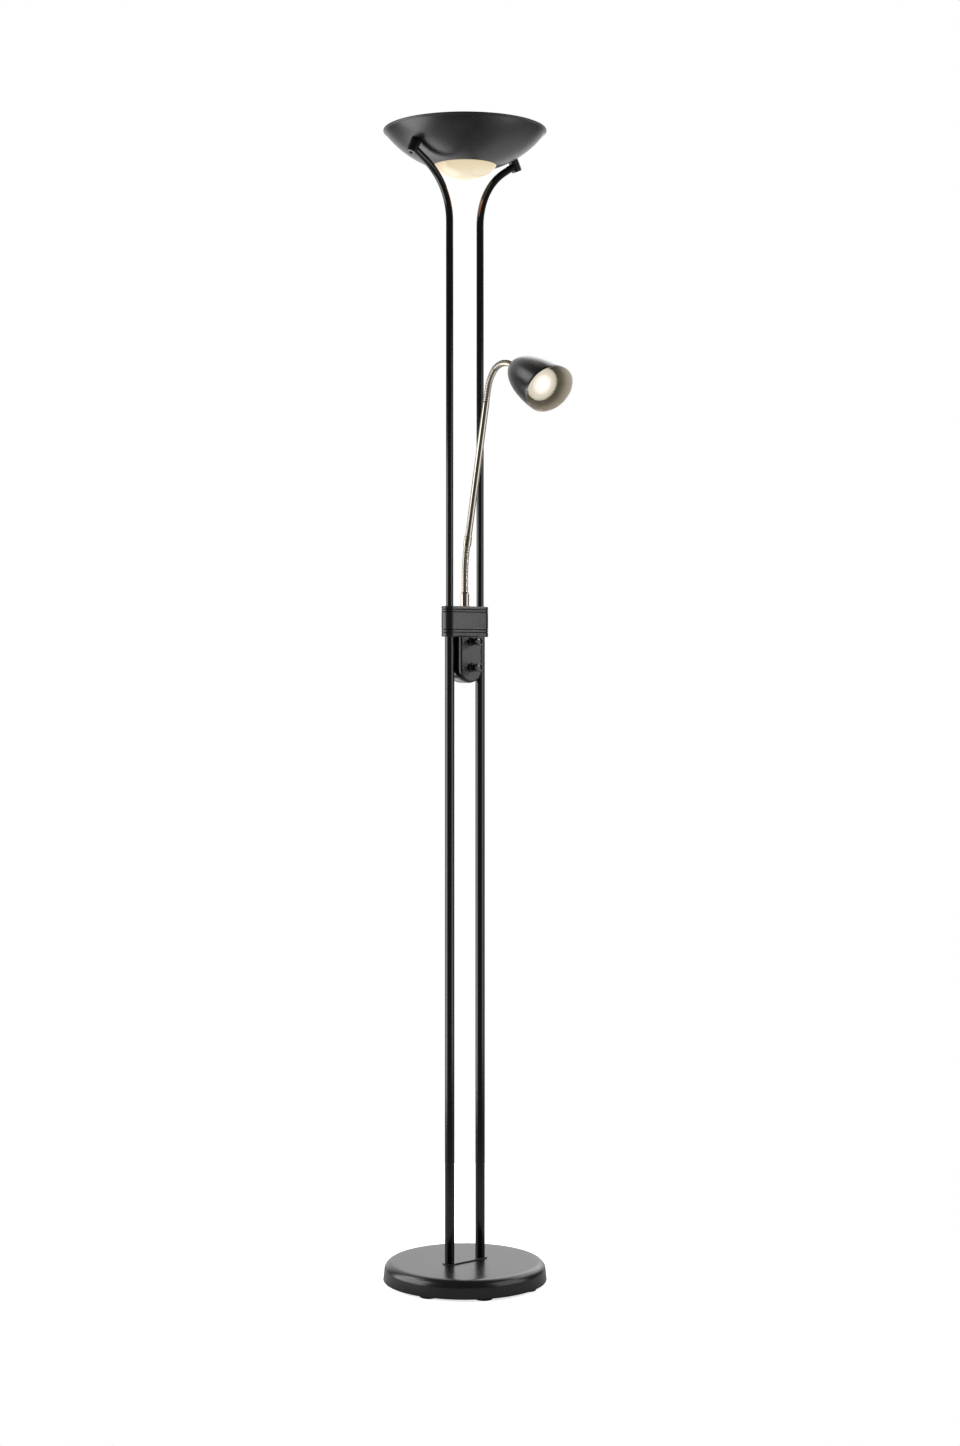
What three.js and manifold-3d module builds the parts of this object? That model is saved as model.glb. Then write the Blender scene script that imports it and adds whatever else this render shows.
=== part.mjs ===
// Torchiere floor lamp with a reading arm.
//
// Millimetres, +Z up. The origin is the middle of the base, on the floor. The two posts stand side by side
// along X, and the front, with the dimmer knobs and the reading arm, faces -Y.
// Pieces that touch keep a small clearance, FIT, so that each one stays a solid of its own.

import * as THREE from 'three';
import { mergeVertices } from 'three/addons/utils/BufferGeometryUtils.js';
import Module from 'manifold-3d';

const wasm = await Module();
wasm.setup();

// ---------------------------------------------------------------- driving dimensions

const FIT = 0.3; // clearance between neighbouring pieces
const SHEET = 1.2; // pressed steel sheet

// Base
const BASE_RADIUS = 127.5;
const BASE_TOP = 32; // height of the base's flat top
const BASE_ROUNDING = 13; // radius of the rounded top edge
const BASE_DRAFT = 1.5; // how far the side leans in from bottom to rounding
const FOOT_HEIGHT = 3.8;
const FOOT_RADIUS = 13.5;
const FOOT_COUNT = 8;
const FOOT_CIRCLE = 110.7; // radius of the circle that the feet stand on
const FOOT_START_DEG = 65; // turn of the first foot from +X
const PAD_RADIUS = 45;
const BASE_PLATE_RADIUS = 124.8;
const BASE_PLATE_THICKNESS = 1.5;
const WEIGHT_RADIUS = 117;
const WEIGHT_BOTTOM = 6;
const WIRE_CHANNEL_WIDTH = 12;
const WIRE_CHANNEL_TOP = 17;
const NUT_POCKET_RADIUS = 10;
const NUT_POCKET_TOP = 18;
const INLET_HEIGHT = 13.5; // height of the cable inlet in the rear of the base

// Posts
const POST_X = 31; // each post stands this far from the middle
const LOWER_TUBE_RADIUS = 7.5;
const UPPER_TUBE_RADIUS = 5.75;
const TUBE_WALL = 1.5;
const POST_PLATE_THICKNESS = 1.5;
const POST_PLATE_END_RADIUS = 11;
const STUD_RADIUS = 4;
const STUD_TOP = 62;
const ARM_BEND_RADIUS = 105; // centreline radius of the bend below the bowl
const ARM_BEND_DEG = 57;

// Collar
const COLLAR_BOTTOM = 1005;
const COLLAR_TOP = 1052.5;
const COLLAR_END_RADIUS = 12.7;
const COLLAR_GROOVES = [6.8, 11.2, 38.5, 42.5]; // heights above the collar's bottom
const GROOVE_WIDTH = 0.9;
const GROOVE_DEPTH = 0.5;
const LOWER_SOCKET_DEPTH = 22;
const UPPER_SOCKET_DEPTH = 21;
const WIRE_HOLE_RADIUS = 4;
const ARM_HOLE_RADIUS = 5;

// Control box
const BOX_HALF_WIDTH = 21.8; // also the radius of its round bottom
const BOX_BOTTOM = 933;
const BOX_FRONT = -16.2;
const BOX_BACK = 12.5;
const BOX_WALL = 1.5;
const PLATE_THICKNESS = 1.5;
const KNOB_HEIGHTS = { upper: 998, lower: 957.2 };
const KNOB_TIP = -36; // how far forward the knobs reach
const KNOB_RADIUS = 7;
const SHAFT_RADIUS = 2.1;
const BUSH_RADIUS = 3.6;

// Reading arm. Its route lies in a vertical plane; F is the distance forward in that plane.
const ARM_TURN_DEG = -8; // turn of the plane about the vertical
const ARM_LEAN_DEG = 14.2; // lean of the straight tube
const ARM_TUBE_RADIUS = 5.25;
const HOSE_BORE = 3.2;
const SOCKET_RADIUS = 6.5;
const SOCKET_TOP = 1075;
const FERRULE_RADIUS = 6.1;
const FERRULE_LENGTH = 16;
const HOSE_GRIP = 7.5; // length of hose held inside a ferrule
const LOWER_HOSE_STRAIGHT = 23;
const LOWER_HOSE_BEND_RADIUS = 196;
const ARM_TUBE_LENGTH = 228;
const UPPER_HOSE_ROUTE = [ // [F, Z] after the end of the straight tube
  [70.5, 1395.3], [81.5, 1409.6], [90.5, 1415.8], [104, 1419.6], [118, 1419.4], [130.5, 1416.6],
];

// Reading shade, a half ellipsoid with its mouth cut a little back at the bottom
const SHADE_TIP = [140, 1412]; // [F, Z]
const SHADE_DROP_DEG = 24.7; // its axis below the horizontal
const SHADE_LENGTH = 105.3;
const SHADE_RADIUS = 38.4;
const SHADE_WALL = 1;
const SHADE_FLAT = 2.2; // the tip is cut flat this far in, and the hose ends there
const SHADE_CUT_DEG = 11.5;
const BULB_RECESS = 20; // bulb face behind the mouth
const BULB_RADIUS = 25.4;
const BULB_LENGTH = 46;

// Bowl
const BOWL_RIM_HEIGHT = 1794.5;
const BOWL_SPHERE_RADIUS = 159.8;
const BOWL_RIM_RADIUS = 127.5;
const BOWL_HOLE_RADIUS = 49;
const BOSS_X = 98.2; // where the bosses' axes meet the bowl
const BOSS_AXIS_DEG = 26.5; // the bosses' lean from the vertical
const BOSS_RADIUS = 8.25;
const BOSS_LENGTH = 22;
const BOSS_TUBE_OFFSET = 12; // the arm enters this far down the boss
const SCREW_RADIUS = 2.4;
const BRACKET_THICKNESS = 1.5;
const BRACKET_WIDTH = 16;
const BRACKET_FOOT = 9; // half the length of a bracket foot
const DOME_BOTTOM = 1717;
const DOME_RADIUS = 64;
const DOME_WALL = 3;
const LAMP_Z = 1778;
const LAMP_HALF_LENGTH = 57;

const radians = THREE.MathUtils.degToRad;
const degrees = THREE.MathUtils.radToDeg;
const BOWL_SPHERE_Z = BOWL_RIM_HEIGHT + Math.sqrt(BOWL_SPHERE_RADIUS ** 2 - BOWL_RIM_RADIUS ** 2);

// ---------------------------------------------------------------- materials

function finish(color, roughness, metalness) {
  return new THREE.MeshStandardMaterial({ color, roughness, metalness });
}

const BLACK_PAINT = finish('#2a2927', 0.45, 0.3);
const NICKEL = finish('#b5aa94', 0.3, 1);
const ZINC = finish('#a8abad', 0.4, 1);
const IRON = finish('#4c4a48', 0.7, 0.6);
const RUBBER = finish('#1b1b1b', 0.9, 0);
const FELT = finish('#2d2d2d', 1, 0);
const BLACK_GLOSS = finish('#0d0d0d', 0.15, 0);
const GREY_PLASTIC = finish('#7d7f80', 0.6, 0);
const CERAMIC = finish('#e8e4da', 0.5, 0);
const OPAL_GLASS = finish('#fbf0d4', 0.3, 0);
const CLEAR_GLASS = finish('#dfe8ea', 0.05, 0);
const BULB_WHITE = finish('#f4efe2', 0.4, 0);

// ---------------------------------------------------------------- shape helpers

// Merges shared vertices, drops triangles of no area and turns the faces outwards.
function closed(geometry) {
  const bare = geometry.clone();
  bare.deleteAttribute('normal');
  bare.deleteAttribute('uv');
  const merged = mergeVertices(bare, 1e-3);
  const index = merged.index.array;
  const position = merged.attributes.position;
  const triangles = [];
  let volume = 0;
  const [a, b, c] = [new THREE.Vector3(), new THREE.Vector3(), new THREE.Vector3()];
  for (let i = 0; i < index.length; i += 3) {
    const [p, q, r] = [index[i], index[i + 1], index[i + 2]];
    if (p === q || q === r || r === p) continue;
    triangles.push([p, q, r]);
    a.fromBufferAttribute(position, p);
    b.fromBufferAttribute(position, q);
    c.fromBufferAttribute(position, r);
    volume += a.dot(b.cross(c));
  }
  const outward = volume < 0 ? triangles.map(([p, q, r]) => [p, r, q]) : triangles;
  merged.setIndex(outward.flat());
  merged.computeVertexNormals();
  return merged;
}

function toManifold(geometry) {
  const shape = closed(geometry);
  return new wasm.Manifold(new wasm.Mesh({
    numProp: 3,
    vertProperties: new Float32Array(shape.attributes.position.array),
    triVerts: new Uint32Array(shape.index.array),
  }));
}

function fromManifold(manifold) {
  const { vertProperties, triVerts, numProp } = manifold.getMesh();
  const corners = [];
  for (let i = 0; i < vertProperties.length; i += numProp) {
    corners.push(vertProperties[i], vertProperties[i + 1], vertProperties[i + 2]);
  }
  const geometry = new THREE.BufferGeometry();
  geometry.setAttribute('position', new THREE.Float32BufferAttribute(corners, 3));
  geometry.setIndex(Array.from(triVerts));
  geometry.computeVertexNormals();
  return geometry;
}

function cut(body, ...tools) {
  return fromManifold(tools.reduce((left, tool) => left.subtract(toManifold(tool)), toManifold(body)));
}

function join(...bodies) {
  return fromManifold(bodies.map(toManifold).reduce((whole, body) => whole.add(body)));
}

// Turns a closed [radius, height] profile about the Z axis.
function turned(profile, segments = 24) {
  const points = profile.map(([radius, height]) => new THREE.Vector2(radius, height));
  if (profile[0][0] > 0) points.push(points[0].clone());
  return closed(new THREE.LatheGeometry(points, segments).rotateX(Math.PI / 2));
}

function rod(radius, bottom, top, segments = 12) {
  return turned([[0, bottom], [radius, bottom], [radius, top], [0, top]], segments);
}

function sleeve(outer, inner, bottom, top, segments = 16) {
  return turned([[inner, bottom], [outer, bottom], [outer, top], [inner, top]], segments);
}

function hexNut(acrossCorners, bore, bottom, top) {
  return cut(rod(acrossCorners, bottom, top, 6), rod(bore, bottom - 1, top + 1));
}

function block(width, depth, height, x, y, z) {
  return closed(new THREE.BoxGeometry(width, depth, height).translate(x, y, z));
}

// Points of an arc in [radius, height] about a centre, angles in degrees from the radius direction.
function arc(centreR, centreH, radius, fromDeg, toDeg, steps) {
  return Array.from({ length: steps + 1 }, (_, i) => {
    const angle = radians(fromDeg + (toDeg - fromDeg) * i / steps);
    return [centreR + radius * Math.cos(angle), centreH + radius * Math.sin(angle)];
  });
}

// An upright prism whose outline is two half circles joined by straight sides, long way along X.
function obround(halfSpan, endRadius, bottom, top, curveSegments = 12) {
  const outline = new THREE.Shape();
  outline.absarc(halfSpan, 0, endRadius, -Math.PI / 2, Math.PI / 2);
  outline.absarc(-halfSpan, 0, endRadius, Math.PI / 2, Math.PI * 1.5);
  const settings = { depth: top - bottom, bevelEnabled: false, curveSegments };
  return closed(new THREE.ExtrudeGeometry(outline, settings).translate(0, 0, bottom));
}

// A curve whose steps fall where its parameter does, so that straight runs take few steps.
class SteppedCurve extends THREE.Curve {
  constructor(stations) {
    super();
    this.stations = stations;
  }

  getPoint(t, target = new THREE.Vector3()) {
    const last = this.stations.length - 1;
    const place = Math.min(Math.max(t, 0), 1) * last;
    const from = Math.min(Math.floor(place), last - 1);
    return target.lerpVectors(this.stations[from], this.stations[from + 1], place - from);
  }

  getUtoTmapping(u) {
    return u;
  }
}

// A round tube whose sections stand at the given stations.
function tubeThrough(stations, radius, bore, sides = 12) {
  const section = new THREE.Shape();
  section.absarc(0, 0, radius, 0, Math.PI * 2);
  if (bore > 0) {
    const hole = new THREE.Path();
    hole.absarc(0, 0, bore, 0, Math.PI * 2);
    section.holes.push(hole);
  }
  const settings = {
    steps: stations.length - 1,
    extrudePath: new SteppedCurve(stations),
    curveSegments: sides,
    bevelEnabled: false,
  };
  return closed(new THREE.ExtrudeGeometry(section, settings));
}

function shifted(geometry, x, y, z) {
  return geometry.clone().translate(x, y, z);
}

const lamp = new THREE.Group();

function add(name, geometry, material, parent = lamp) {
  const mesh = new THREE.Mesh(geometry, material);
  mesh.name = name;
  parent.add(mesh);
  return mesh;
}

const SIDES = [['left', -1], ['right', 1]];

// ---------------------------------------------------------------- base

function baseCover() {
  const roundStart = BASE_RADIUS - BASE_DRAFT - BASE_ROUNDING;
  const roundHeight = BASE_TOP - BASE_ROUNDING;
  const outer = arc(roundStart, roundHeight, BASE_ROUNDING, 0, 90, 3);
  const inner = arc(roundStart, roundHeight, BASE_ROUNDING - SHEET, 90, 0, 3);
  const bottom = FOOT_HEIGHT - 0.2;
  const profile = [
    [BASE_RADIUS, bottom], ...outer, [0, BASE_TOP], [0, BASE_TOP - SHEET], ...inner,
    [BASE_RADIUS - SHEET, bottom],
  ];
  const shell = turned(profile, 36);
  const inlet = rod(5.3, 0, 20).rotateX(-Math.PI / 2).translate(0, BASE_RADIUS - 12, INLET_HEIGHT);
  const studHoles = SIDES.map(([, side]) => shifted(rod(STUD_RADIUS + FIT, 20, 40), side * POST_X, 0, 0));
  return cut(shell, inlet, ...studHoles);
}

function baseWeight() {
  const top = BASE_TOP - SHEET - FIT;
  const chamfer = 8;
  const disc = turned([
    [0, WEIGHT_BOTTOM], [WEIGHT_RADIUS, WEIGHT_BOTTOM], [WEIGHT_RADIUS, top - chamfer],
    [WEIGHT_RADIUS - chamfer, top], [0, top],
  ], 32);
  const channelHeight = WIRE_CHANNEL_TOP - WEIGHT_BOTTOM + 2;
  const channelZ = WIRE_CHANNEL_TOP - channelHeight / 2;
  const across = block(2 * POST_X, WIRE_CHANNEL_WIDTH, channelHeight, 0, 0, channelZ);
  const reach = WEIGHT_RADIUS + 10;
  const toInlet = block(WIRE_CHANNEL_WIDTH, reach, channelHeight, 0, reach / 2, channelZ);
  const pockets = SIDES.map(([, side]) =>
    shifted(rod(NUT_POCKET_RADIUS, WEIGHT_BOTTOM - 2, NUT_POCKET_TOP), side * POST_X, 0, 0));
  const holes = SIDES.map(([, side]) => shifted(rod(STUD_RADIUS + FIT, 0, 40), side * POST_X, 0, 0));
  return cut(disc, across, toInlet, ...pockets, ...holes);
}

function cableGrommet() {
  const bore = 3.6;
  const groove = 4.9;
  const lip = 7;
  const wall = BASE_RADIUS - SHEET;
  const inside = wall - FIT - 2.2;
  const outside = BASE_RADIUS + FIT;
  const end = outside + 2.7;
  const profile = [
    [bore, inside - 2], [lip, inside - 2], [lip, inside], [groove, inside],
    [groove, outside], [lip, outside], [lip - 1, end], [bore, end],
  ];
  return turned(profile, 14).rotateX(-Math.PI / 2).translate(0, 0, INLET_HEIGHT);
}

function postPlate() {
  const bottom = BASE_TOP + FIT;
  const plate = obround(POST_X, POST_PLATE_END_RADIUS, bottom, bottom + POST_PLATE_THICKNESS, 8);
  const holes = SIDES.map(([, side]) => shifted(rod(STUD_RADIUS + FIT, 20, 40), side * POST_X, 0, 0));
  return cut(plate, ...holes);
}

add('base_cover', baseCover(), BLACK_PAINT);
add('base_weight', baseWeight(), IRON);
const plateBottom = FOOT_HEIGHT + FIT;
add('base_plate', rod(BASE_PLATE_RADIUS, plateBottom, plateBottom + BASE_PLATE_THICKNESS, 32), ZINC);
add('centre_pad', rod(PAD_RADIUS, 0, FOOT_HEIGHT, 24), FELT);
add('cable_grommet', cableGrommet(), RUBBER);
add('post_plate', postPlate(), BLACK_PAINT);
const foot = turned([
  [0, 0], [FOOT_RADIUS - 1, 0], [FOOT_RADIUS, 1], [FOOT_RADIUS, FOOT_HEIGHT], [0, FOOT_HEIGHT],
], 16);
for (let i = 0; i < FOOT_COUNT; i += 1) {
  const mesh = add(`foot_${i + 1}`, foot, RUBBER);
  const turn = radians(FOOT_START_DEG + 360 / FOOT_COUNT * i);
  mesh.position.set(FOOT_CIRCLE * Math.cos(turn), FOOT_CIRCLE * Math.sin(turn), 0);
}

// ---------------------------------------------------------------- bowl mountings, which the posts run up to

// A boss stands on the bowl at its foot and leans outwards. The bowl's own normal there leans further.
const bossTilt = radians(BOSS_AXIS_DEG);
const bossOut = new THREE.Vector3(Math.sin(bossTilt), 0, -Math.cos(bossTilt));
const wallTilt = Math.asin(BOSS_X / BOWL_SPHERE_RADIUS);
const wallOut = new THREE.Vector3(Math.sin(wallTilt), 0, -Math.cos(wallTilt));
const bossFoot = new THREE.Vector3(0, 0, BOWL_SPHERE_Z).addScaledVector(wallOut, BOWL_SPHERE_RADIUS);

// Turns a piece drawn along +Z to a boss's foot, its Z pointing out of the bowl at the given lean.
function atFoot(geometry, tilt, side) {
  return geometry.clone().rotateY(side * (Math.PI - tilt)).translate(side * bossFoot.x, 0, bossFoot.z);
}

// The centreline of the upper tube on the +X side, from the collar to inside the boss.
function upperTubeRoute() {
  const bend = radians(ARM_BEND_DEG);
  const meet = bossFoot.clone().addScaledVector(bossOut, BOSS_TUBE_OFFSET);
  const direction = new THREE.Vector3(Math.sin(bend), 0, Math.cos(bend));
  const end = meet.clone().addScaledVector(direction, -3);
  const bendEndX = POST_X + ARM_BEND_RADIUS * (1 - Math.cos(bend));
  const bendEndZ = meet.z - (meet.x - bendEndX) / Math.tan(bend);
  const bendStartZ = bendEndZ - ARM_BEND_RADIUS * Math.sin(bend);
  const steps = 8;
  const stations = [new THREE.Vector3(POST_X, 0, COLLAR_TOP - UPPER_SOCKET_DEPTH + 1)];
  for (let i = 0; i <= steps; i += 1) {
    const angle = bend * i / steps;
    const x = POST_X + ARM_BEND_RADIUS * (1 - Math.cos(angle));
    stations.push(new THREE.Vector3(x, 0, bendStartZ + ARM_BEND_RADIUS * Math.sin(angle)));
  }
  stations.push(end);
  return { stations, end, direction };
}

const upperRoute = upperTubeRoute();

// ---------------------------------------------------------------- posts

function mirrored(stations, side) {
  return stations.map((point) => new THREE.Vector3(side * point.x, point.y, point.z));
}

const postBottom = BASE_TOP + POST_PLATE_THICKNESS + 2 * FIT;
for (const [name, side] of SIDES) {
  const x = side * POST_X;
  const stud = rod(STUD_RADIUS, WEIGHT_BOTTOM + 1, STUD_TOP);
  const nut = hexNut(8.6, STUD_RADIUS + FIT, NUT_POCKET_TOP - 6.8, NUT_POCKET_TOP - FIT);
  add(`post_stud_${name}`, stud, ZINC).position.x = x;
  add(`post_nut_${name}`, nut, ZINC).position.x = x;
  const bore = LOWER_TUBE_RADIUS - TUBE_WALL;
  const lowerTop = COLLAR_BOTTOM + LOWER_SOCKET_DEPTH - 1;
  const plugTop = postBottom + 22; // the foot of the tube is plugged and bored for the stud
  const lower = turned([
    [STUD_RADIUS + FIT, postBottom], [LOWER_TUBE_RADIUS, postBottom], [LOWER_TUBE_RADIUS, lowerTop],
    [bore, lowerTop], [bore, plugTop], [STUD_RADIUS + FIT, plugTop],
  ], 20);
  add(`lower_tube_${name}`, lower, BLACK_PAINT).position.x = x;
  const route = mirrored(upperRoute.stations, side);
  const upper = tubeThrough(route, UPPER_TUBE_RADIUS, UPPER_TUBE_RADIUS - TUBE_WALL, 5);
  add(`upper_tube_${name}`, upper, BLACK_PAINT);
}

// ---------------------------------------------------------------- collar

function collar() {
  const body = obround(POST_X, COLLAR_END_RADIUS, COLLAR_BOTTOM, COLLAR_TOP, 5);
  const tools = COLLAR_GROOVES.map((height) => {
    const bottom = COLLAR_BOTTOM + height - GROOVE_WIDTH / 2;
    const around = obround(POST_X, COLLAR_END_RADIUS + 2, bottom, bottom + GROOVE_WIDTH, 5);
    const core = obround(POST_X, COLLAR_END_RADIUS - GROOVE_DEPTH, bottom - 1, bottom + GROOVE_WIDTH + 1, 5);
    return cut(around, core);
  });
  for (const [, side] of SIDES) {
    const x = side * POST_X;
    const lowerTop = COLLAR_BOTTOM + LOWER_SOCKET_DEPTH;
    const upperBottom = COLLAR_TOP - UPPER_SOCKET_DEPTH;
    tools.push(shifted(rod(LOWER_TUBE_RADIUS + 2 * FIT, COLLAR_BOTTOM - 5, lowerTop), x, 0, 0));
    tools.push(shifted(rod(UPPER_TUBE_RADIUS + 2 * FIT, upperBottom, COLLAR_TOP + 5), x, 0, 0));
    tools.push(shifted(rod(WIRE_HOLE_RADIUS, COLLAR_BOTTOM, COLLAR_TOP, 10), x, 0, 0));
    tools.push(rod(SCREW_RADIUS + FIT, 0, COLLAR_END_RADIUS + 5).rotateX(-Math.PI / 2)
      .translate(x, 0, COLLAR_BOTTOM + LOWER_SOCKET_DEPTH / 2));
  }
  tools.push(rod(ARM_HOLE_RADIUS, COLLAR_BOTTOM - 5, COLLAR_TOP + 5));
  return cut(body, ...tools);
}

add('collar', collar(), BLACK_PAINT);
for (const [name, side] of SIDES) {
  const start = LOWER_TUBE_RADIUS + FIT;
  const end = COLLAR_END_RADIUS - 0.8;
  const grub = cut(rod(SCREW_RADIUS, start, end), rod(1.2, end - 2.2, end + 5, 6));
  const mesh = add(`collar_screw_${name}`, grub.rotateX(-Math.PI / 2), ZINC);
  mesh.position.set(side * POST_X, 0, COLLAR_BOTTOM + LOWER_SOCKET_DEPTH / 2);
}

// ---------------------------------------------------------------- control box

// The box's outline seen from the front: straight sides, round bottom. Runs from front to back in Y.
function boxPrism(inset, front, back, top) {
  const radius = BOX_HALF_WIDTH - inset;
  const middle = BOX_BOTTOM + BOX_HALF_WIDTH;
  const outline = new THREE.Shape();
  outline.moveTo(radius, top);
  outline.lineTo(-radius, top);
  outline.absarc(0, middle, radius, Math.PI, Math.PI * 2);
  const settings = { depth: back - front, bevelEnabled: false, curveSegments: 10 };
  return closed(new THREE.ExtrudeGeometry(outline, settings).rotateX(Math.PI / 2).translate(0, back, 0));
}

const boxTop = COLLAR_BOTTOM - FIT;
const shellFront = BOX_FRONT + PLATE_THICKNESS + FIT;

function controlHousing() {
  const outside = boxPrism(0, shellFront, BOX_BACK, boxTop);
  const inside = boxPrism(BOX_WALL, shellFront - 2, BOX_BACK - BOX_WALL, boxTop - BOX_WALL);
  return cut(outside, inside, rod(ARM_HOLE_RADIUS, boxTop - 5, boxTop + 5));
}

function controlPlate() {
  const plate = boxPrism(0, BOX_FRONT, BOX_FRONT + PLATE_THICKNESS, boxTop);
  const holes = Object.values(KNOB_HEIGHTS).map((height) =>
    rod(BUSH_RADIUS + FIT, -5, 5).rotateX(Math.PI / 2).translate(0, BOX_FRONT, height));
  return cut(plate, ...holes);
}

// A piece drawn along +Z, laid to point forwards at a knob's height. Z becomes -Y.
function facingFront(geometry, height) {
  return geometry.clone().rotateX(Math.PI / 2).translate(0, 0, height);
}

const plateBack = -(BOX_FRONT + PLATE_THICKNESS); // distances forward from the posts' plane
const plateFront = -BOX_FRONT;
const knobTip = -KNOB_TIP;

function dimmer() {
  const depth = 4.4;
  const size = 9.6;
  const body = block(size, size, depth, 0, 0, plateBack - FIT - depth / 2);
  const bush = rod(BUSH_RADIUS, plateBack - FIT - 1, plateFront + 3.2);
  return cut(join(body, bush), rod(SHAFT_RADIUS + FIT, plateBack - FIT - 3, plateFront + 10));
}

function dimmerKnob() {
  const back = plateFront + FIT + 0.2;
  const waist = KNOB_RADIUS - 1.1;
  const outside = [
    [0, back], [KNOB_RADIUS, back], [KNOB_RADIUS, back + 3.4], [waist, back + 5.4], [waist, knobTip - 5.6],
    [waist + 0.8, knobTip - 2.6], [waist + 0.8, knobTip - 1], [waist, knobTip - 0.4],
    [waist - 1.2, knobTip - 0.4], [waist - 1.5, knobTip - 1], [2.4, knobTip - 0.3], [0, knobTip - 0.2],
  ];
  const nutRoom = rod(BUSH_RADIUS + 2.1, back - 1, plateFront + 3.8, 16);
  const shaftRoom = rod(SHAFT_RADIUS + FIT, back - 1, knobTip - 2.6, 12);
  return cut(turned(outside, 16), nutRoom, shaftRoom);
}

add('control_housing', controlHousing(), BLACK_PAINT);
add('control_plate', controlPlate(), BLACK_PAINT);
for (const [name, height] of Object.entries(KNOB_HEIGHTS)) {
  const nut = hexNut(BUSH_RADIUS + 1.7, BUSH_RADIUS + FIT, plateFront + FIT, plateFront + 2.3);
  const shaft = rod(SHAFT_RADIUS, plateBack - 3, knobTip - 3, 12);
  add(`dimmer_${name}`, facingFront(dimmer(), height), GREY_PLASTIC);
  add(`dimmer_nut_${name}`, facingFront(nut, height), ZINC);
  add(`dimmer_shaft_${name}`, facingFront(shaft, height), ZINC);
  add(`dimmer_knob_${name}`, facingFront(dimmerKnob(), height), BLACK_GLOSS);
}

function terminalBlock() {
  const height = (KNOB_HEIGHTS.upper + KNOB_HEIGHTS.lower) / 2 - 3.6;
  const body = block(26, 9, 11, 0, 4, height);
  const ways = [-8, 0, 8].map((x) => block(4.4, 20, 4.4, x, 4, height));
  return cut(body, ...ways);
}

add('terminal_block', terminalBlock(), GREY_PLASTIC);

// ---------------------------------------------------------------- reading arm

const arm = new THREE.Group();
arm.rotation.z = radians(ARM_TURN_DEG);
lamp.add(arm);

const lean = radians(ARM_LEAN_DEG);
const leanDirection = new THREE.Vector3(0, -Math.sin(lean), Math.cos(lean));

// A point of the arm's plane, F forward and Z up.
function inPlane(forward, height) {
  return new THREE.Vector3(0, -forward, height);
}

function armSocket() {
  const studRadius = ARM_HOLE_RADIUS - FIT;
  const bottom = COLLAR_BOTTOM - 11;
  const seat = COLLAR_TOP + FIT;
  const profile = [
    [2.6, bottom], [studRadius, bottom], [studRadius, seat], [SOCKET_RADIUS, seat],
    [SOCKET_RADIUS, SOCKET_TOP - 0.8], [SOCKET_RADIUS - 0.6, SOCKET_TOP], [ARM_TUBE_RADIUS + FIT, SOCKET_TOP],
    [ARM_TUBE_RADIUS + FIT, SOCKET_TOP - HOSE_GRIP - FIT], [2.6, SOCKET_TOP - HOSE_GRIP - FIT],
  ];
  return turned(profile, 16);
}

// Stations of the lower hose, from inside the socket to inside the ferrule.
function lowerHoseRoute() {
  const straightEnd = SOCKET_TOP + LOWER_HOSE_STRAIGHT;
  const stations = [inPlane(0, SOCKET_TOP - HOSE_GRIP), inPlane(0, SOCKET_TOP), inPlane(0, SOCKET_TOP + 12)];
  const steps = 6;
  for (let i = 0; i <= steps; i += 1) {
    const angle = lean * i / steps;
    const forward = LOWER_HOSE_BEND_RADIUS * (1 - Math.cos(angle));
    stations.push(inPlane(forward, straightEnd + LOWER_HOSE_BEND_RADIUS * Math.sin(angle)));
  }
  const end = stations[stations.length - 1];
  stations.push(end.clone().addScaledVector(leanDirection, HOSE_GRIP));
  return { stations, end };
}

// Cuts a route in two at one of its stations. The halves face each other squarely across the clearance.
function halves(stations, at) {
  const onward = stations[at + 1].clone().sub(stations[at - 1]).normalize();
  const beyond = (distance) => stations[at].clone().addScaledVector(onward, distance);
  const lead = 1.5;
  const first = [...stations.slice(0, at), beyond(-lead), beyond(0)];
  const second = [beyond(FIT), beyond(FIT + lead), ...stations.slice(at + 1)];
  return [first, second];
}

// Places a piece drawn along +Z from its origin so that it starts at a point and runs along a direction.
function laidAlong(geometry, start, direction) {
  const turn = new THREE.Quaternion().setFromUnitVectors(new THREE.Vector3(0, 0, 1), direction);
  return geometry.clone().applyQuaternion(turn).translate(start.x, start.y, start.z);
}

add('arm_socket', armSocket(), NICKEL, arm);
const armNut = hexNut(7.1, ARM_HOLE_RADIUS, COLLAR_BOTTOM - 9, COLLAR_BOTTOM - 4);
add('arm_nut', armNut, ZINC).rotation.z = Math.PI / 6;

const lowerHose = lowerHoseRoute();
const [lowerRoot, lowerTip] = halves(lowerHose.stations, 4);
add('lower_hose_root', tubeThrough(lowerRoot, ARM_TUBE_RADIUS, HOSE_BORE, 5), NICKEL, arm);
add('lower_hose_tip', tubeThrough(lowerTip, ARM_TUBE_RADIUS, HOSE_BORE, 5), NICKEL, arm);

const ferruleEdge = 0.5;
const ferrule = turned([
  [ARM_TUBE_RADIUS + FIT, 0], [FERRULE_RADIUS - ferruleEdge, 0], [FERRULE_RADIUS, ferruleEdge],
  [FERRULE_RADIUS, FERRULE_LENGTH - ferruleEdge], [FERRULE_RADIUS - ferruleEdge, FERRULE_LENGTH],
  [ARM_TUBE_RADIUS + FIT, FERRULE_LENGTH],
], 20);
add('arm_ferrule', laidAlong(ferrule, lowerHose.end, leanDirection), NICKEL, arm);

const armTubeEnd = lowerHose.end.clone().addScaledVector(leanDirection, ARM_TUBE_LENGTH);
const armTube = sleeve(ARM_TUBE_RADIUS, ARM_TUBE_RADIUS - 1, HOSE_GRIP + FIT, ARM_TUBE_LENGTH - FIT, 16);
add('arm_tube', laidAlong(armTube, lowerHose.end, leanDirection), NICKEL, arm);

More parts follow.
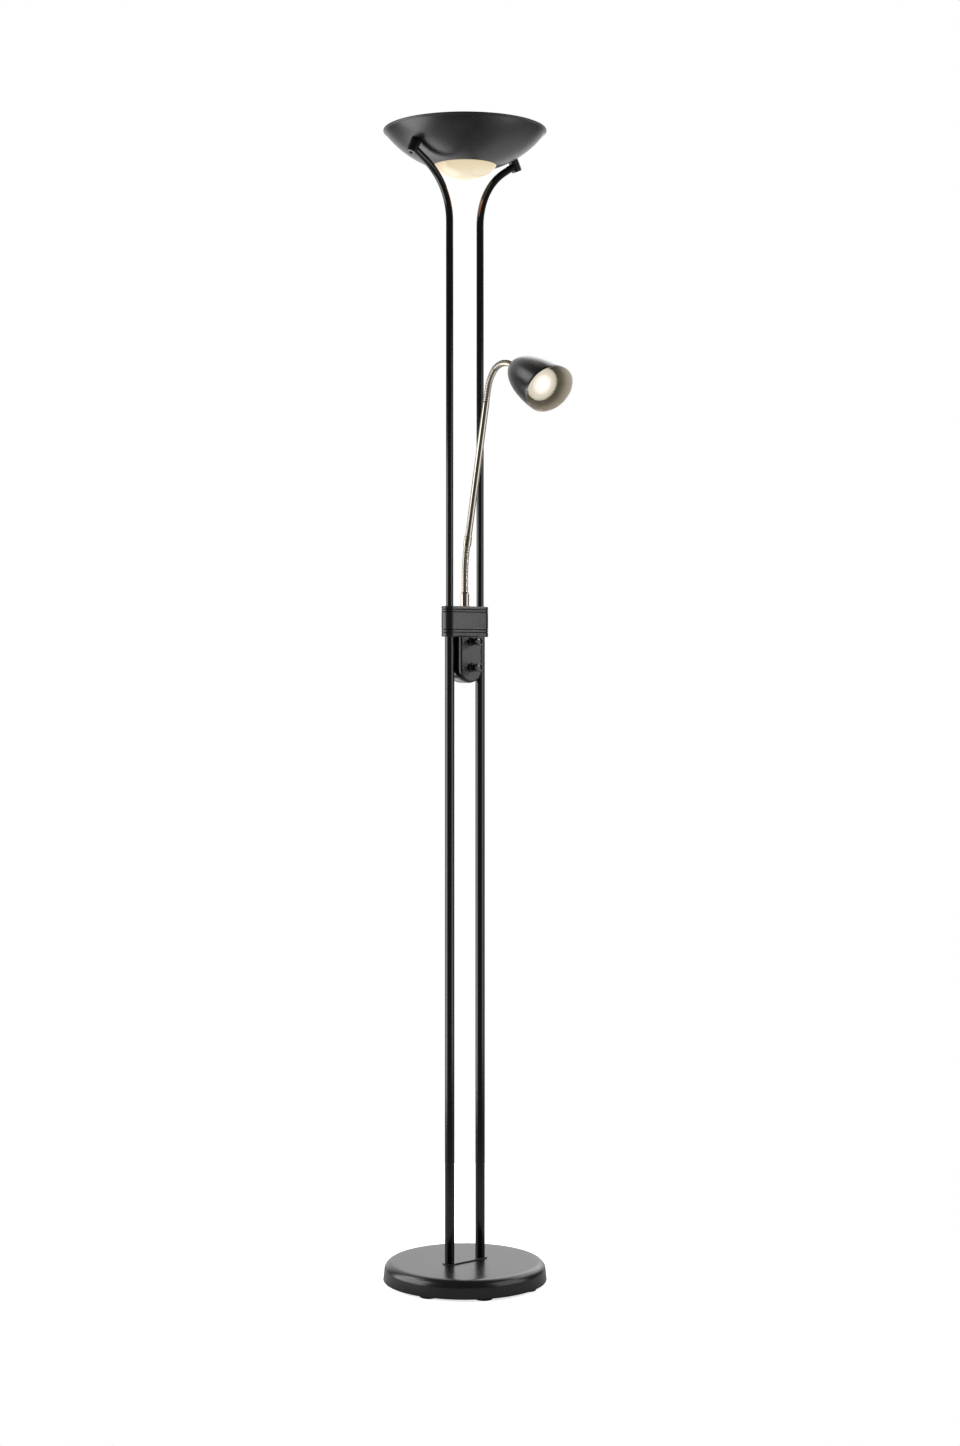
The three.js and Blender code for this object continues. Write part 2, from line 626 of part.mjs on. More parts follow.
// Stations of the upper hose, smoothed through its route from the tube to the tip of the shade.
function upperHoseRoute() {
  const drop = radians(SHADE_DROP_DEG);
  const tip = inPlane(SHADE_TIP[0] + SHADE_FLAT * Math.cos(drop), SHADE_TIP[1] - SHADE_FLAT * Math.sin(drop));
  const between = UPPER_HOSE_ROUTE.map(([forward, height]) => inPlane(forward, height));
  return new THREE.CatmullRomCurve3([armTubeEnd, ...between, tip]).getSpacedPoints(12);
}

const [upperRoot, upperTip] = halves(upperHoseRoute(), 6);
add('upper_hose_root', tubeThrough(upperRoot, ARM_TUBE_RADIUS, HOSE_BORE, 5), NICKEL, arm);
add('upper_hose_tip', tubeThrough(upperTip, ARM_TUBE_RADIUS, HOSE_BORE, 5), NICKEL, arm);

// ---------------------------------------------------------------- reading head

// Frame of the head: origin at the shade's tip, local Z along its axis towards the mouth, local Y upwards.
const head = new THREE.Group();
head.position.copy(inPlane(...SHADE_TIP));
head.rotation.x = Math.PI / 2 + radians(SHADE_DROP_DEG);
arm.add(head);

function ellipsoidRadius(length, radius, z) {
  const behind = Math.max(0, (length - z) / length);
  return radius * Math.sqrt(1 - behind * behind);
}

function readingShade() {
  const mouth = SHADE_LENGTH + 12;
  const holeRadius = 5.2;
  const seat = SHADE_FLAT + FIT;
  const stations = [seat, 7, 16, 32, 54, 80, SHADE_LENGTH, mouth];
  const outer = stations.map((z) => [ellipsoidRadius(SHADE_LENGTH, SHADE_RADIUS, z), z]);
  const inner = stations.slice(1).map((z) =>
    [ellipsoidRadius(SHADE_LENGTH - SHADE_WALL, SHADE_RADIUS - SHADE_WALL, z - SHADE_WALL), z]).reverse();
  const floor = seat + SHADE_WALL;
  const shell = turned([[holeRadius, seat], ...outer, ...inner, [holeRadius, floor]], 24);
  const waste = new THREE.BoxGeometry(200, 200, 60).translate(0, 0, 30).rotateX(radians(SHADE_CUT_DEG));
  return cut(shell, waste.translate(0, 0, SHADE_LENGTH));
}

function headNipple() {
  const bore = 1.8;
  const spigot = HOSE_BORE - 2 * FIT;
  const neck = 4.9;
  const flange = 9;
  const end = 11;
  return turned([
    [bore, -3], [spigot, -3], [spigot, 2.5], [neck, 2.5], [neck, 5.6], [flange, 5.6], [flange, 7.6],
    [neck - 0.5, 7.6], [neck - 0.5, end], [bore, end],
  ], 12);
}

const bulbFace = SHADE_LENGTH - BULB_RECESS;
const bulbBack = bulbFace - BULB_LENGTH;

function bulbHolder() {
  const bottom = 11.3;
  const top = bulbBack - FIT;
  const body = turned([[0, bottom], [12, bottom], [14, bottom + 4], [14, top], [0, top]], 20);
  const pinSlots = SIDES.map(([, side]) => rod(2.8, top - 8, top + 5, 12).translate(side * 5, 0, 0));
  return cut(body, ...pinSlots);
}

function bulbBody() {
  const rim = bulbFace - 4;
  const body = turned([
    [0, bulbBack], [12.5, bulbBack], [12.5, bulbBack + 8], [14, bulbBack + 9], [BULB_RADIUS - 0.6, rim],
    [BULB_RADIUS, rim], [BULB_RADIUS, bulbFace], [BULB_RADIUS - 1.2, bulbFace],
    [BULB_RADIUS - 1.2, bulbFace - 2.4], [0, bulbFace - 2.4],
  ], 20);
  const pins = SIDES.map(([, side]) => rod(2.4, bulbBack - 7, bulbBack + 2, 12).translate(side * 5, 0, 0));
  return join(body, ...pins);
}

add('reading_shade', readingShade(), BLACK_PAINT, head);
add('head_nipple', headNipple(), ZINC, head);
add('bulb_holder', bulbHolder(), CERAMIC, head);
add('bulb_body', bulbBody(), BULB_WHITE, head);
add('bulb_lens', turned([
  [0, bulbFace - 2.1], [BULB_RADIUS - 1.5, bulbFace - 2.1], [BULB_RADIUS - 1.5, bulbFace - 0.6],
  [10, bulbFace + 0.2], [0, bulbFace + 0.2],
], 20), OPAL_GLASS, head);

// ---------------------------------------------------------------- bowl

const BOWL_SEGMENTS = 36;

// The bowl's profile from hole to rim, at a distance from its outside, as [radius, height] points.
function bowlProfile(offset) {
  const from = degrees(Math.asin(BOWL_HOLE_RADIUS / BOWL_SPHERE_RADIUS)) - 90;
  const to = degrees(Math.asin(BOWL_RIM_RADIUS / BOWL_SPHERE_RADIUS)) - 90;
  return arc(0, BOWL_SPHERE_Z, BOWL_SPHERE_RADIUS + offset, from, to, 5);
}

function bowl() {
  const shell = turned([...bowlProfile(0), ...bowlProfile(-SHEET).reverse()], BOWL_SEGMENTS);
  const holes = SIDES.map(([, side]) => atFoot(rod(SCREW_RADIUS + FIT, -10, 10), wallTilt, side));
  return cut(shell, ...holes);
}

// The boss on the +X side, its top shaped to the bowl. The arm's end enters through its side.
function bowlBoss() {
  const body = turned([
    [0, -8], [BOSS_RADIUS, -8], [BOSS_RADIUS, BOSS_LENGTH - 0.8], [BOSS_RADIUS - 0.8, BOSS_LENGTH],
    [2.9, BOSS_LENGTH], [2.9, BOSS_LENGTH - 2], [0, BOSS_LENGTH - 2],
  ], 16);
  const inside = bowlProfile(FIT);
  const bowlRoom = turned([[0, inside[0][1]], ...inside, [0, inside[inside.length - 1][1]]], BOWL_SEGMENTS);
  const socket = rod(UPPER_TUBE_RADIUS + 2 * FIT, -30, FIT);
  const socketTurn = Math.atan2(upperRoute.direction.x, upperRoute.direction.z);
  socket.rotateY(socketTurn).translate(upperRoute.end.x, 0, upperRoute.end.z);
  const screwRoom = atFoot(rod(SCREW_RADIUS + FIT, -5, 8), wallTilt, 1);
  return cut(atFoot(body, bossTilt, 1), bowlRoom, socket, screwRoom);
}

// The same piece on the other side of the lamp.
function otherSide(geometry, side) {
  return side > 0 ? geometry : closed(geometry.clone().scale(-1, 1, 1));
}

const wallInside = -SHEET;
const footFace = wallInside - 1; // the bracket's flat feet bridge the bowl's curve
const headSeat = footFace - BRACKET_THICKNESS - FIT;
const bowlScrew = turned([
  [0, headSeat - 3], [3.6, headSeat - 3], [4.6, headSeat - 2], [4.6, headSeat], [SCREW_RADIUS, headSeat],
  [SCREW_RADIUS, 7], [0, 7],
], 16);

function lampBracket() {
  const half = BRACKET_THICKNESS / 2;
  const along = new THREE.Vector2(Math.cos(wallTilt), Math.sin(wallTilt));
  const middle = new THREE.Vector2(bossFoot.x, bossFoot.z)
    .addScaledVector(new THREE.Vector2(wallOut.x, wallOut.z), footFace - half);
  const inner = middle.clone().addScaledVector(along, -BRACKET_FOOT);
  const outer = middle.clone().addScaledVector(along, BRACKET_FOOT);
  const across = new THREE.Vector2(-along.y, along.x).multiplyScalar(half);
  const elbow = half * Math.tan(wallTilt / 2);
  const right = [
    new THREE.Vector2(inner.x + elbow, inner.y - half),
    outer.clone().addScaledVector(across, -1),
    outer.clone().add(across),
    new THREE.Vector2(inner.x - elbow, inner.y + half),
  ];
  const left = right.map((point) => new THREE.Vector2(-point.x, point.y)).reverse();
  const shape = new THREE.Shape([...right, ...left]);
  const strip = new THREE.ExtrudeGeometry(shape, { depth: BRACKET_WIDTH, bevelEnabled: false });
  strip.rotateX(Math.PI / 2).translate(0, BRACKET_WIDTH / 2, 0);
  const holes = SIDES.map(([, side]) => atFoot(rod(SCREW_RADIUS + FIT, -10, 5), wallTilt, side));
  return { geometry: cut(strip, ...holes), top: inner.y + half };
}

function glassDome() {
  const centre = DOME_BOTTOM + DOME_RADIUS;
  const neck = BOWL_HOLE_RADIUS - 1.2;
  const neckDeg = degrees(Math.asin(neck / DOME_RADIUS));
  const outer = arc(0, centre, DOME_RADIUS, -90, -90 + neckDeg, 4);
  const insideRadius = BOWL_SPHERE_RADIUS - SHEET - FIT;
  const seat = (radius) => BOWL_SPHERE_Z - Math.sqrt(insideRadius ** 2 - radius ** 2);
  const flange = 57;
  const inner = arc(0, centre, DOME_RADIUS - DOME_WALL, -90 + neckDeg - 1, -90, 4);
  const rise = seat(neck) + 0.2;
  return turned([...outer, [neck, rise], [flange, seat(flange) + 0.1], [flange, seat(flange) + 2.8],
    [neck - DOME_WALL, rise + 2.6], ...inner], 24);
}

add('bowl', bowl(), BLACK_PAINT);
for (const [name, side] of SIDES) {
  add(`bowl_boss_${name}`, otherSide(bowlBoss(), side), BLACK_PAINT);
  add(`bowl_screw_${name}`, atFoot(bowlScrew, wallTilt, side), ZINC);
}
add('glass_dome', glassDome(), OPAL_GLASS);

const bracket = lampBracket();
add('lamp_bracket', bracket.geometry, ZINC);

const holderTop = LAMP_Z + 10;
for (const [name, side] of SIDES) {
  const bottom = bracket.top + FIT;
  const length = 13;
  const middle = LAMP_HALF_LENGTH + length / 2 - 4;
  const body = block(length, 15, holderTop - bottom, middle, 0, (holderTop + bottom) / 2);
  const room = rod(4.2, -8, 0, 12).rotateY(Math.PI / 2).translate(LAMP_HALF_LENGTH + FIT, 0, LAMP_Z);
  add(`lamp_holder_${name}`, otherSide(cut(body, room), side), CERAMIC);
}

add('tube_lamp', turned([
  [0, -LAMP_HALF_LENGTH], [3.6, -LAMP_HALF_LENGTH], [3.6, 7 - LAMP_HALF_LENGTH], [2.4, 10 - LAMP_HALF_LENGTH],
  [4, 15 - LAMP_HALF_LENGTH], [4, LAMP_HALF_LENGTH - 15], [2.4, LAMP_HALF_LENGTH - 10],
  [3.6, LAMP_HALF_LENGTH - 7], [3.6, LAMP_HALF_LENGTH], [0, LAMP_HALF_LENGTH],
], 10).rotateY(Math.PI / 2).translate(0, 0, LAMP_Z), CLEAR_GLASS);
add('safety_glass', block(142, 62, 3, 0, 0, holderTop + FIT + 1.5), CLEAR_GLASS);

export default lamp;
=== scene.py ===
"""Torchiere floor lamp with a reading arm, built round its CAD frame as a Blender add-on."""

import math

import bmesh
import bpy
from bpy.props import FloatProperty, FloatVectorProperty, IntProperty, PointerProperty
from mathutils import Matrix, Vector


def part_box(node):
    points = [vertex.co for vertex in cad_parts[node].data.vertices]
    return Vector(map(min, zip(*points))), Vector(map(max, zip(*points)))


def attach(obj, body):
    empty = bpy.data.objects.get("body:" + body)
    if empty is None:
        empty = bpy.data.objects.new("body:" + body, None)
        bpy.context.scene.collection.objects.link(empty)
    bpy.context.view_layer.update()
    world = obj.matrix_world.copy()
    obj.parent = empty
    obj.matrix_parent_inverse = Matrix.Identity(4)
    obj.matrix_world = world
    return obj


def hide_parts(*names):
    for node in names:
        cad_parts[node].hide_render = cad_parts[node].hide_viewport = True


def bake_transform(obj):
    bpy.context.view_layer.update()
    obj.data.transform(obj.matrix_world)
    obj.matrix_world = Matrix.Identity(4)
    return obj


bl_info = {
    "name": "Torchiere Floor Lamp",
    "version": (1, 0, 0),
    "blender": (4, 5, 0),
    "location": "View3D > Sidebar > Lamp",
    "description": "Builds a twin-post torchiere with a flexible reading arm, piece by piece",
    "category": "Object",
}

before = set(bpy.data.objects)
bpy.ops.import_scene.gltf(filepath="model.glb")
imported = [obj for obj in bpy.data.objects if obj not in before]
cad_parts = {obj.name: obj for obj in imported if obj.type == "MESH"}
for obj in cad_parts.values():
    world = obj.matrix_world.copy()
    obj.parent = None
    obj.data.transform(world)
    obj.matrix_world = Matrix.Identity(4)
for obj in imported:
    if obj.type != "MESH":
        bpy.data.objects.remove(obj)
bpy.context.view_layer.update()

MM = 0.001
SIDES = {"left": -1, "right": 1}


def linear(code):
    """A colour from its sRGB hex code."""
    values = [int(code[i:i + 2], 16) / 255 for i in (1, 3, 5)]
    return tuple(v / 12.92 if v <= 0.04045 else ((v + 0.055) / 1.055) ** 2.4 for v in values)


def rgba(colour):
    return (*colour, 1.0)


def low(node, axis):
    """The lowest place of a CAD node on an axis, in millimetres."""
    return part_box(node)[0][axis] / MM


def high(node, axis):
    """The highest place of a CAD node on an axis, in millimetres."""
    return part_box(node)[1][axis] / MM


# ---------------------------------------------------------------- settings


class LampSizes(bpy.types.PropertyGroup):
    """Sizes that a user would change."""

    round_segments: IntProperty(
        name="Round segments", description="Facets round the large turned pieces",
        default=160, min=24, max=256)
    rib_pitch: FloatProperty(
        name="Hose rib pitch", description="Distance from rib to rib on the flexible hoses",
        default=2.45 * MM, min=0.5 * MM, unit="LENGTH", precision=4)
    rib_height: FloatProperty(
        name="Hose rib height", description="How far a rib stands above the valley beside it",
        default=0.55 * MM, min=0.0, unit="LENGTH", precision=4)
    edge_round: FloatProperty(
        name="Edge rounding", description="Radius of the small edges on the collar and the bosses",
        default=1.1 * MM, min=0.1 * MM, unit="LENGTH", precision=4)
    plate_gap: FloatProperty(
        name="Plate gap", description="Width of the dark gap round the control plate",
        default=0.7 * MM, min=0.2 * MM, unit="LENGTH", precision=4)
    rim_bead: FloatProperty(
        name="Rim bead", description="Radius of the rolled edge of the bowl and the shade",
        default=1.1 * MM, min=0.3 * MM, unit="LENGTH", precision=4)
    dome_glow: FloatProperty(
        name="Glass glow", description="Strength of the light that the opal glass gives off",
        default=0.8, min=0.0)
    bulb_glow: FloatProperty(
        name="Bulb glow", description="Strength of the light in the middle of the bulb's face",
        default=1.3, min=0.0)


class LampColours(bpy.types.PropertyGroup):
    """Colours that a user would change."""

    paint: FloatVectorProperty(
        name="Paint", description="Black satin enamel of the stand",
        default=linear("#1A1918"), size=3, subtype="COLOR", min=0.0, max=1.0)
    nickel: FloatVectorProperty(
        name="Nickel", description="Satin nickel of the reading arm",
        default=linear("#A69F93"), size=3, subtype="COLOR", min=0.0, max=1.0)
    lining: FloatVectorProperty(
        name="Shade lining", description="Silver lacquer inside the reading shade",
        default=linear("#F4EEE2"), size=3, subtype="COLOR", min=0.0, max=1.0)
    glass: FloatVectorProperty(
        name="Opal glass", description="Warm colour of the lit opal glass",
        default=linear("#FBEED2"), size=3, subtype="COLOR", min=0.0, max=1.0)
    floor: FloatVectorProperty(
        name="Floor", description="Pale studio floor",
        default=linear("#F4F4F4"), size=3, subtype="COLOR", min=0.0, max=1.0)


# ---------------------------------------------------------------- nodes and finishes


def add_node(tree, kind, inputs=None, **settings):
    """Adds a node with its settings. An input is a value, or the output of another node."""
    node = tree.nodes.new(kind)
    for key, value in settings.items():
        setattr(node, key, value)
    for key, value in (inputs or {}).items():
        if isinstance(value, bpy.types.NodeSocket):
            tree.links.new(value, node.inputs[key])
        else:
            node.inputs[key].default_value = value
    return node


def per_metre(pattern_mm):
    """Noise scale for a pattern of that size, on coordinates in metres."""
    return 1 / (pattern_mm * MM)


def finish(name, colour, second, roughness, spread, cloud_mm, grain_mm, relief_mm=0.0, **constants):
    """A surface whose colour drifts in clouds and whose roughness and relief follow a finer grain."""
    material = bpy.data.materials.get(name)
    if material:
        return material
    material = bpy.data.materials.new(name)
    material.use_nodes = True
    tree = material.node_tree
    tree.nodes.clear()
    place = add_node(tree, "ShaderNodeTexCoord").outputs["Object"]
    clouds = add_node(tree, "ShaderNodeTexNoise", {
        "Vector": place, "Scale": per_metre(cloud_mm), "Detail": 3.0, "Roughness": 0.55})
    grain = add_node(tree, "ShaderNodeTexNoise", {
        "Vector": place, "Scale": per_metre(grain_mm), "Detail": 2.0, "Roughness": 0.5})
    tone = add_node(tree, "ShaderNodeMix", {
        0: clouds.outputs["Fac"], 6: rgba(colour), 7: rgba(second)}, data_type="RGBA")
    dullness = add_node(tree, "ShaderNodeMapRange", {
        "Value": grain.outputs["Fac"], "From Min": 0.3, "From Max": 0.7,
        "To Min": roughness - spread, "To Max": roughness + spread})
    shader = add_node(tree, "ShaderNodeBsdfPrincipled", {
        "Base Color": tone.outputs[2], "Roughness": dullness.outputs["Result"]})
    if relief_mm:
        bump = add_node(tree, "ShaderNodeBump", {
            "Height": grain.outputs["Fac"], "Distance": relief_mm * MM, "Strength": 0.6})
        tree.links.new(bump.outputs["Normal"], shader.inputs["Normal"])
    for socket, value in constants.items():
        shader.inputs[socket.replace("_", " ")].default_value = value
    add_node(tree, "ShaderNodeOutputMaterial", {"Surface": shader.outputs["BSDF"]})
    return material


def satin_enamel():
    # Sprayed and stoved enamel on steel: near black, with a soft sheen and a faint orange peel.
    colour = bpy.context.scene.lamp_colours.paint
    return finish("satin_black_enamel", [c * 0.5 for c in colour], [c * 0.4 for c in colour], 0.3, 0.03,
                  90, 2.4, 0.002)


def groove_painted_shade():
    # Painted shade in the turned grooves: matt near-black without any sheen, so the grooves read as dark
    # lines.
    return finish("matt_groove_painted_shade", linear("#090909"), linear("#060606"), 0.9, 0.05, 20, 1.0,
                  Specular_IOR_Level=0.15)


def plate_enamel():
    # The satin enamel again on flat folded sheet, where it lies a little duller.
    colour = bpy.context.scene.lamp_colours.paint
    return finish("dull_black_enamel", [c * 0.5 for c in colour], [c * 0.4 for c in colour], 0.42, 0.03,
                  60, 1.8, 0.002)


def tube_enamel():
    # The same enamel on drawn tube, which is smoother, so reflections along it stay sharp.
    colour = bpy.context.scene.lamp_colours.paint
    return finish("gloss_black_enamel", [c * 0.3 for c in colour], [c * 0.25 for c in colour],
                  0.18, 0.02, 120, 3.0)


def base_enamel():
    # Thicker enamel on the pressed base cover: it blurs what stands on it, and dulls a little in places.
    colour = bpy.context.scene.lamp_colours.paint
    return finish("stoved_base_enamel", [c * 0.5 for c in colour], [c * 0.6 for c in colour],
                  0.25, 0.025, 140, 2.0, 0.003)


def satin_nickel():
    # Nickel plate on brushed steel: warm grey metal with soft, bright reflections.
    colour = bpy.context.scene.lamp_colours.nickel
    return finish("satin_nickel_plate", colour, [c * 0.92 for c in colour], 0.13, 0.03, 40, 0.9,
                  Metallic=1.0)


def silver_lacquer():
    # Aluminium lacquer sprayed inside the shade: light warm grey with a fine metallic grain.
    colour = bpy.context.scene.lamp_colours.lining
    return finish("aluminium_lacquer", colour, [c * 0.9 for c in colour], 0.45, 0.05, 30, 0.6, 0.01,
                  Metallic=0.1)


def bowl_lining():
    # White enamel inside the bowl, which throws the light upwards.
    return finish("white_enamel", linear("#EFEDE6"), linear("#E4E1D8"), 0.4, 0.04, 80, 1.5, 0.005)


def knob_plastic():
    # Moulded ABS, polished mould: deep gloss black.
    return finish("polished_black_abs", linear("#0B0B0B"), linear("#070707"), 0.12, 0.03, 12, 0.8)


def zinc_plate():
    # Zinc-plated steel: cool grey with a cloudy, slightly dull plating.
    return finish("zinc_plated_steel", linear("#A9ACB0"), linear("#8E9195"), 0.36, 0.08, 8, 0.5,
                  Metallic=1.0)


def cast_iron():
    # Sand-cast iron, unmachined: dark grey, rough and pitted.
    return finish("sand_cast_iron", linear("#4A4746"), linear("#343231"), 0.75, 0.1, 25, 1.6, 0.35,
                  Metallic=0.6)


def pressed_felt():
    # Pressed wool felt: soft black nap without any gloss.
    return finish("pressed_felt", linear("#2B2A29"), linear("#1E1D1D"), 0.96, 0.03, 6, 0.5, 0.25)


def moulded_rubber():
    # Moulded rubber: matt black with a faint bloom.
    return finish("moulded_rubber", linear("#1C1C1C"), linear("#262625"), 0.7, 0.06, 10, 0.8, 0.03)


def grey_nylon():
    # Moulded nylon of the dimmer bodies and the terminal block.
    return finish("moulded_grey_nylon", linear("#7B7D7E"), linear("#6E7071"), 0.55, 0.06, 15, 0.7, 0.02)


def steatite():
    # Pressed and fired steatite: chalky off-white with fine pores.
    return finish("fired_steatite", linear("#E6E1D4"), linear("#D8D2C4"), 0.6, 0.08, 10, 0.9, 0.04)


def bulb_shell():
    # Moulded white housing of the reflector bulb.
    return finish("white_bulb_housing", linear("#EFE9DA"), linear("#E6DFCF"), 0.35, 0.04, 12, 0.8)


def clear_glass():
    # Toughened soda-lime glass: clear, with a slight green in its thickness.
    return finish("toughened_glass", linear("#EAF2EE"), linear("#E2ECE8"), 0.04, 0.01, 60, 5.0,
                  Transmission_Weight=1.0, IOR=1.52)


def opal_glass():
    """Blown opal glass, lit from inside: even warm light, with painted shade that makes it a little deeper
    towards its edge.
    """
    material = bpy.data.materials.get("lit_opal_glass")
    if material:
        return material
    settings = bpy.context.scene
    colour = settings.lamp_colours.glass
    # Painted shade: the glow turns to this darker tone towards the rim.
    edge = [c * k for c, k in zip(colour, (0.88, 0.82, 0.72))]
    material = bpy.data.materials.new("lit_opal_glass")
    material.use_nodes = True
    tree = material.node_tree
    tree.nodes.clear()
    depth = add_node(tree, "ShaderNodeAttribute", attribute_name="edge")
    place = add_node(tree, "ShaderNodeTexCoord").outputs["Object"]
    clouds = add_node(tree, "ShaderNodeTexNoise", {
        "Vector": place, "Scale": per_metre(35), "Detail": 2.0})
    drift = add_node(tree, "ShaderNodeMath", {
        0: clouds.outputs["Fac"], 1: 0.25, 2: depth.outputs["Fac"]}, operation="MULTIPLY_ADD")
    tone = add_node(tree, "ShaderNodeMix", {
        0: drift.outputs["Value"], 6: rgba(colour), 7: rgba(edge)}, data_type="RGBA")
    shader = add_node(tree, "ShaderNodeBsdfPrincipled", {
        "Base Color": rgba(linear("#6A6256")), "Roughness": 0.25,
        "Emission Color": tone.outputs[2], "Emission Strength": settings.lamp_sizes.dome_glow})
    add_node(tree, "ShaderNodeOutputMaterial", {"Surface": shader.outputs["BSDF"]})
    return material


def lit_lens():
    """Frosted lens of an LED reflector bulb: a white heart, cream rings and a greenish rim."""
    material = bpy.data.materials.get("lit_frosted_lens")
    if material:
        return material
    material = bpy.data.materials.new("lit_frosted_lens")
    material.use_nodes = True
    tree = material.node_tree
    tree.nodes.clear()
    out = add_node(tree, "ShaderNodeAttribute", attribute_name="edge")
    rings = add_node(tree, "ShaderNodeValToRGB", {"Fac": out.outputs["Fac"]})
    stops = [(0.0, "#FFFFFF"), (0.32, "#FFFFFC"), (0.4, "#FBF0E2"), (0.5, "#FFF6EA"),
             (0.6, "#F2E2D2"), (0.72, "#F6EAD8"), (0.84, "#E8E2CE"), (1.0, "#D2D0BA")]
    while len(rings.color_ramp.elements) < len(stops):
        rings.color_ramp.elements.new(0.5)
    for element, (position, code) in zip(rings.color_ramp.elements, stops):
        element.position = position
        element.color = rgba(linear(code))
    level = add_node(tree, "ShaderNodeMapRange", {
        "Value": out.outputs["Fac"], "From Min": 0.1, "From Max": 0.75,
        "To Min": bpy.context.scene.lamp_sizes.bulb_glow, "To Max": 0.68})
    shader = add_node(tree, "ShaderNodeBsdfPrincipled", {
        "Base Color": rgba(linear("#5E594C")), "Roughness": 0.3,
        "Emission Color": rings.outputs["Color"], "Emission Strength": level.outputs["Result"]})
    add_node(tree, "ShaderNodeOutputMaterial", {"Surface": shader.outputs["BSDF"]})
    return material


# ---------------------------------------------------------------- shapes, in millimetres


def arc(centre_x, centre_y, radius, start_deg, end_deg, steps):
    """Points of an arc about a centre, angles from the x direction."""
    turns = [math.radians(start_deg + (end_deg - start_deg) * i / steps) for i in range(steps + 1)]
    return [(centre_x + radius * math.cos(t), centre_y + radius * math.sin(t)) for t in turns]


def turned(profile, segments):
    """Turns a [radius, height] profile about Z. It is a ring, or starts and ends on the axis."""
    verts, rings, faces = [], [], []
    for radius, height in profile:
        if radius < 1e-6:
            rings.append([len(verts)] * segments)
            verts.append((0.0, 0.0, height))
            continue
        rings.append(list(range(len(verts), len(verts) + segments)))
        for i in range(segments):
            turn = 2 * math.pi * i / segments
            verts.append((radius * math.cos(turn), radius * math.sin(turn), height))
    pairs = list(zip(rings, rings[1:]))
    if profile[0][0] > 1e-6:
        pairs.append((rings[-1], rings[0]))
    for one, other in pairs:
        for i in range(segments):
            j = (i + 1) % segments
            corners = list(dict.fromkeys((one[i], one[j], other[j], other[i])))
            if len(corners) > 2:
                faces.append(corners)
    return verts, faces


def stacked(outline, sections):
    """A body whose sections are one outline, drawn in by an inset at each height. Both ends are closed."""
    rings = [[(x, y, height) for x, y in outline(inset)] for inset, height in sections]
    size = len(rings[0])
    verts = [point for ring in rings for point in ring]
    faces = [list(range(size)), list(range(len(verts) - size, len(verts)))]
    for level in range(len(rings) - 1):
        for i in range(size):
            j = (i + 1) % size
            faces.append([level * size + i, level * size + j, (level + 1) * size + j, (level + 1) * size + i])
    return verts, faces


def piece(name, shape, material, place=None):
    """An object from a shape in millimetres, put in its place, with its faces turned outwards."""
    verts, faces = shape
    mesh = bpy.data.meshes.new(name)
    mesh.from_pydata([(x * MM, y * MM, z * MM) for x, y, z in verts], [], faces)
    if place:
        mesh.transform(place)
    tidy = bmesh.new()
    tidy.from_mesh(mesh)
    bmesh.ops.remove_doubles(tidy, verts=tidy.verts, dist=1e-7)
    bmesh.ops.recalc_face_normals(tidy, faces=tidy.faces)
    tidy.to_mesh(mesh)
    tidy.free()
    mesh.shade_smooth()
    mesh.set_sharp_from_angle(angle=math.radians(38))
    mesh.materials.append(material)
    thing = bpy.data.objects.new(name, mesh)
    bpy.context.scene.collection.objects.link(thing)
    return thing


def settle(thing, body, slot, *nodes):
    """Makes a finished piece ride on its body, and stand for its CAD nodes."""
    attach(thing, body)
    if nodes:
        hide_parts(*nodes)


def repaint(material, *nodes):
    """Gives CAD nodes that stay a better material."""
    for name in nodes:
        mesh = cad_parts[name].data
        mesh.materials.clear()
        mesh.materials.append(material)


def bored(thing, shape, place=None):
    """Cuts a shape out of a piece."""
    cutter = piece("cutter", shape, thing.data.materials[0], place)
    modifier = thing.modifiers.new("bore", "BOOLEAN")
    modifier.object = cutter
    modifier.solver = "EXACT"
    harden(thing)
    bpy.data.objects.remove(cutter)


def harden(thing):
    """Turns what a piece's modifiers make into its plain mesh."""
    bpy.context.view_layer.update()
    made = thing.evaluated_get(bpy.context.evaluated_depsgraph_get())
    mesh = bpy.data.meshes.new_from_object(made)
    thing.modifiers.clear()
    thing.data = mesh
    mesh.set_sharp_from_angle(angle=math.radians(38))


# ---------------------------------------------------------------- geometry node trees


def new_tree(name, sockets):
    tree = bpy.data.node_groups.new(name, "GeometryNodeTree")
    tree.interface.new_socket("Geometry", in_out="OUTPUT", socket_type="NodeSocketGeometry")
    tree.interface.new_socket("Geometry", in_out="INPUT", socket_type="NodeSocketGeometry")
    for label, kind in sockets.items():
        tree.interface.new_socket(label, in_out="INPUT", socket_type="NodeSocket" + kind)
    return tree, add_node(tree, "NodeGroupInput").outputs


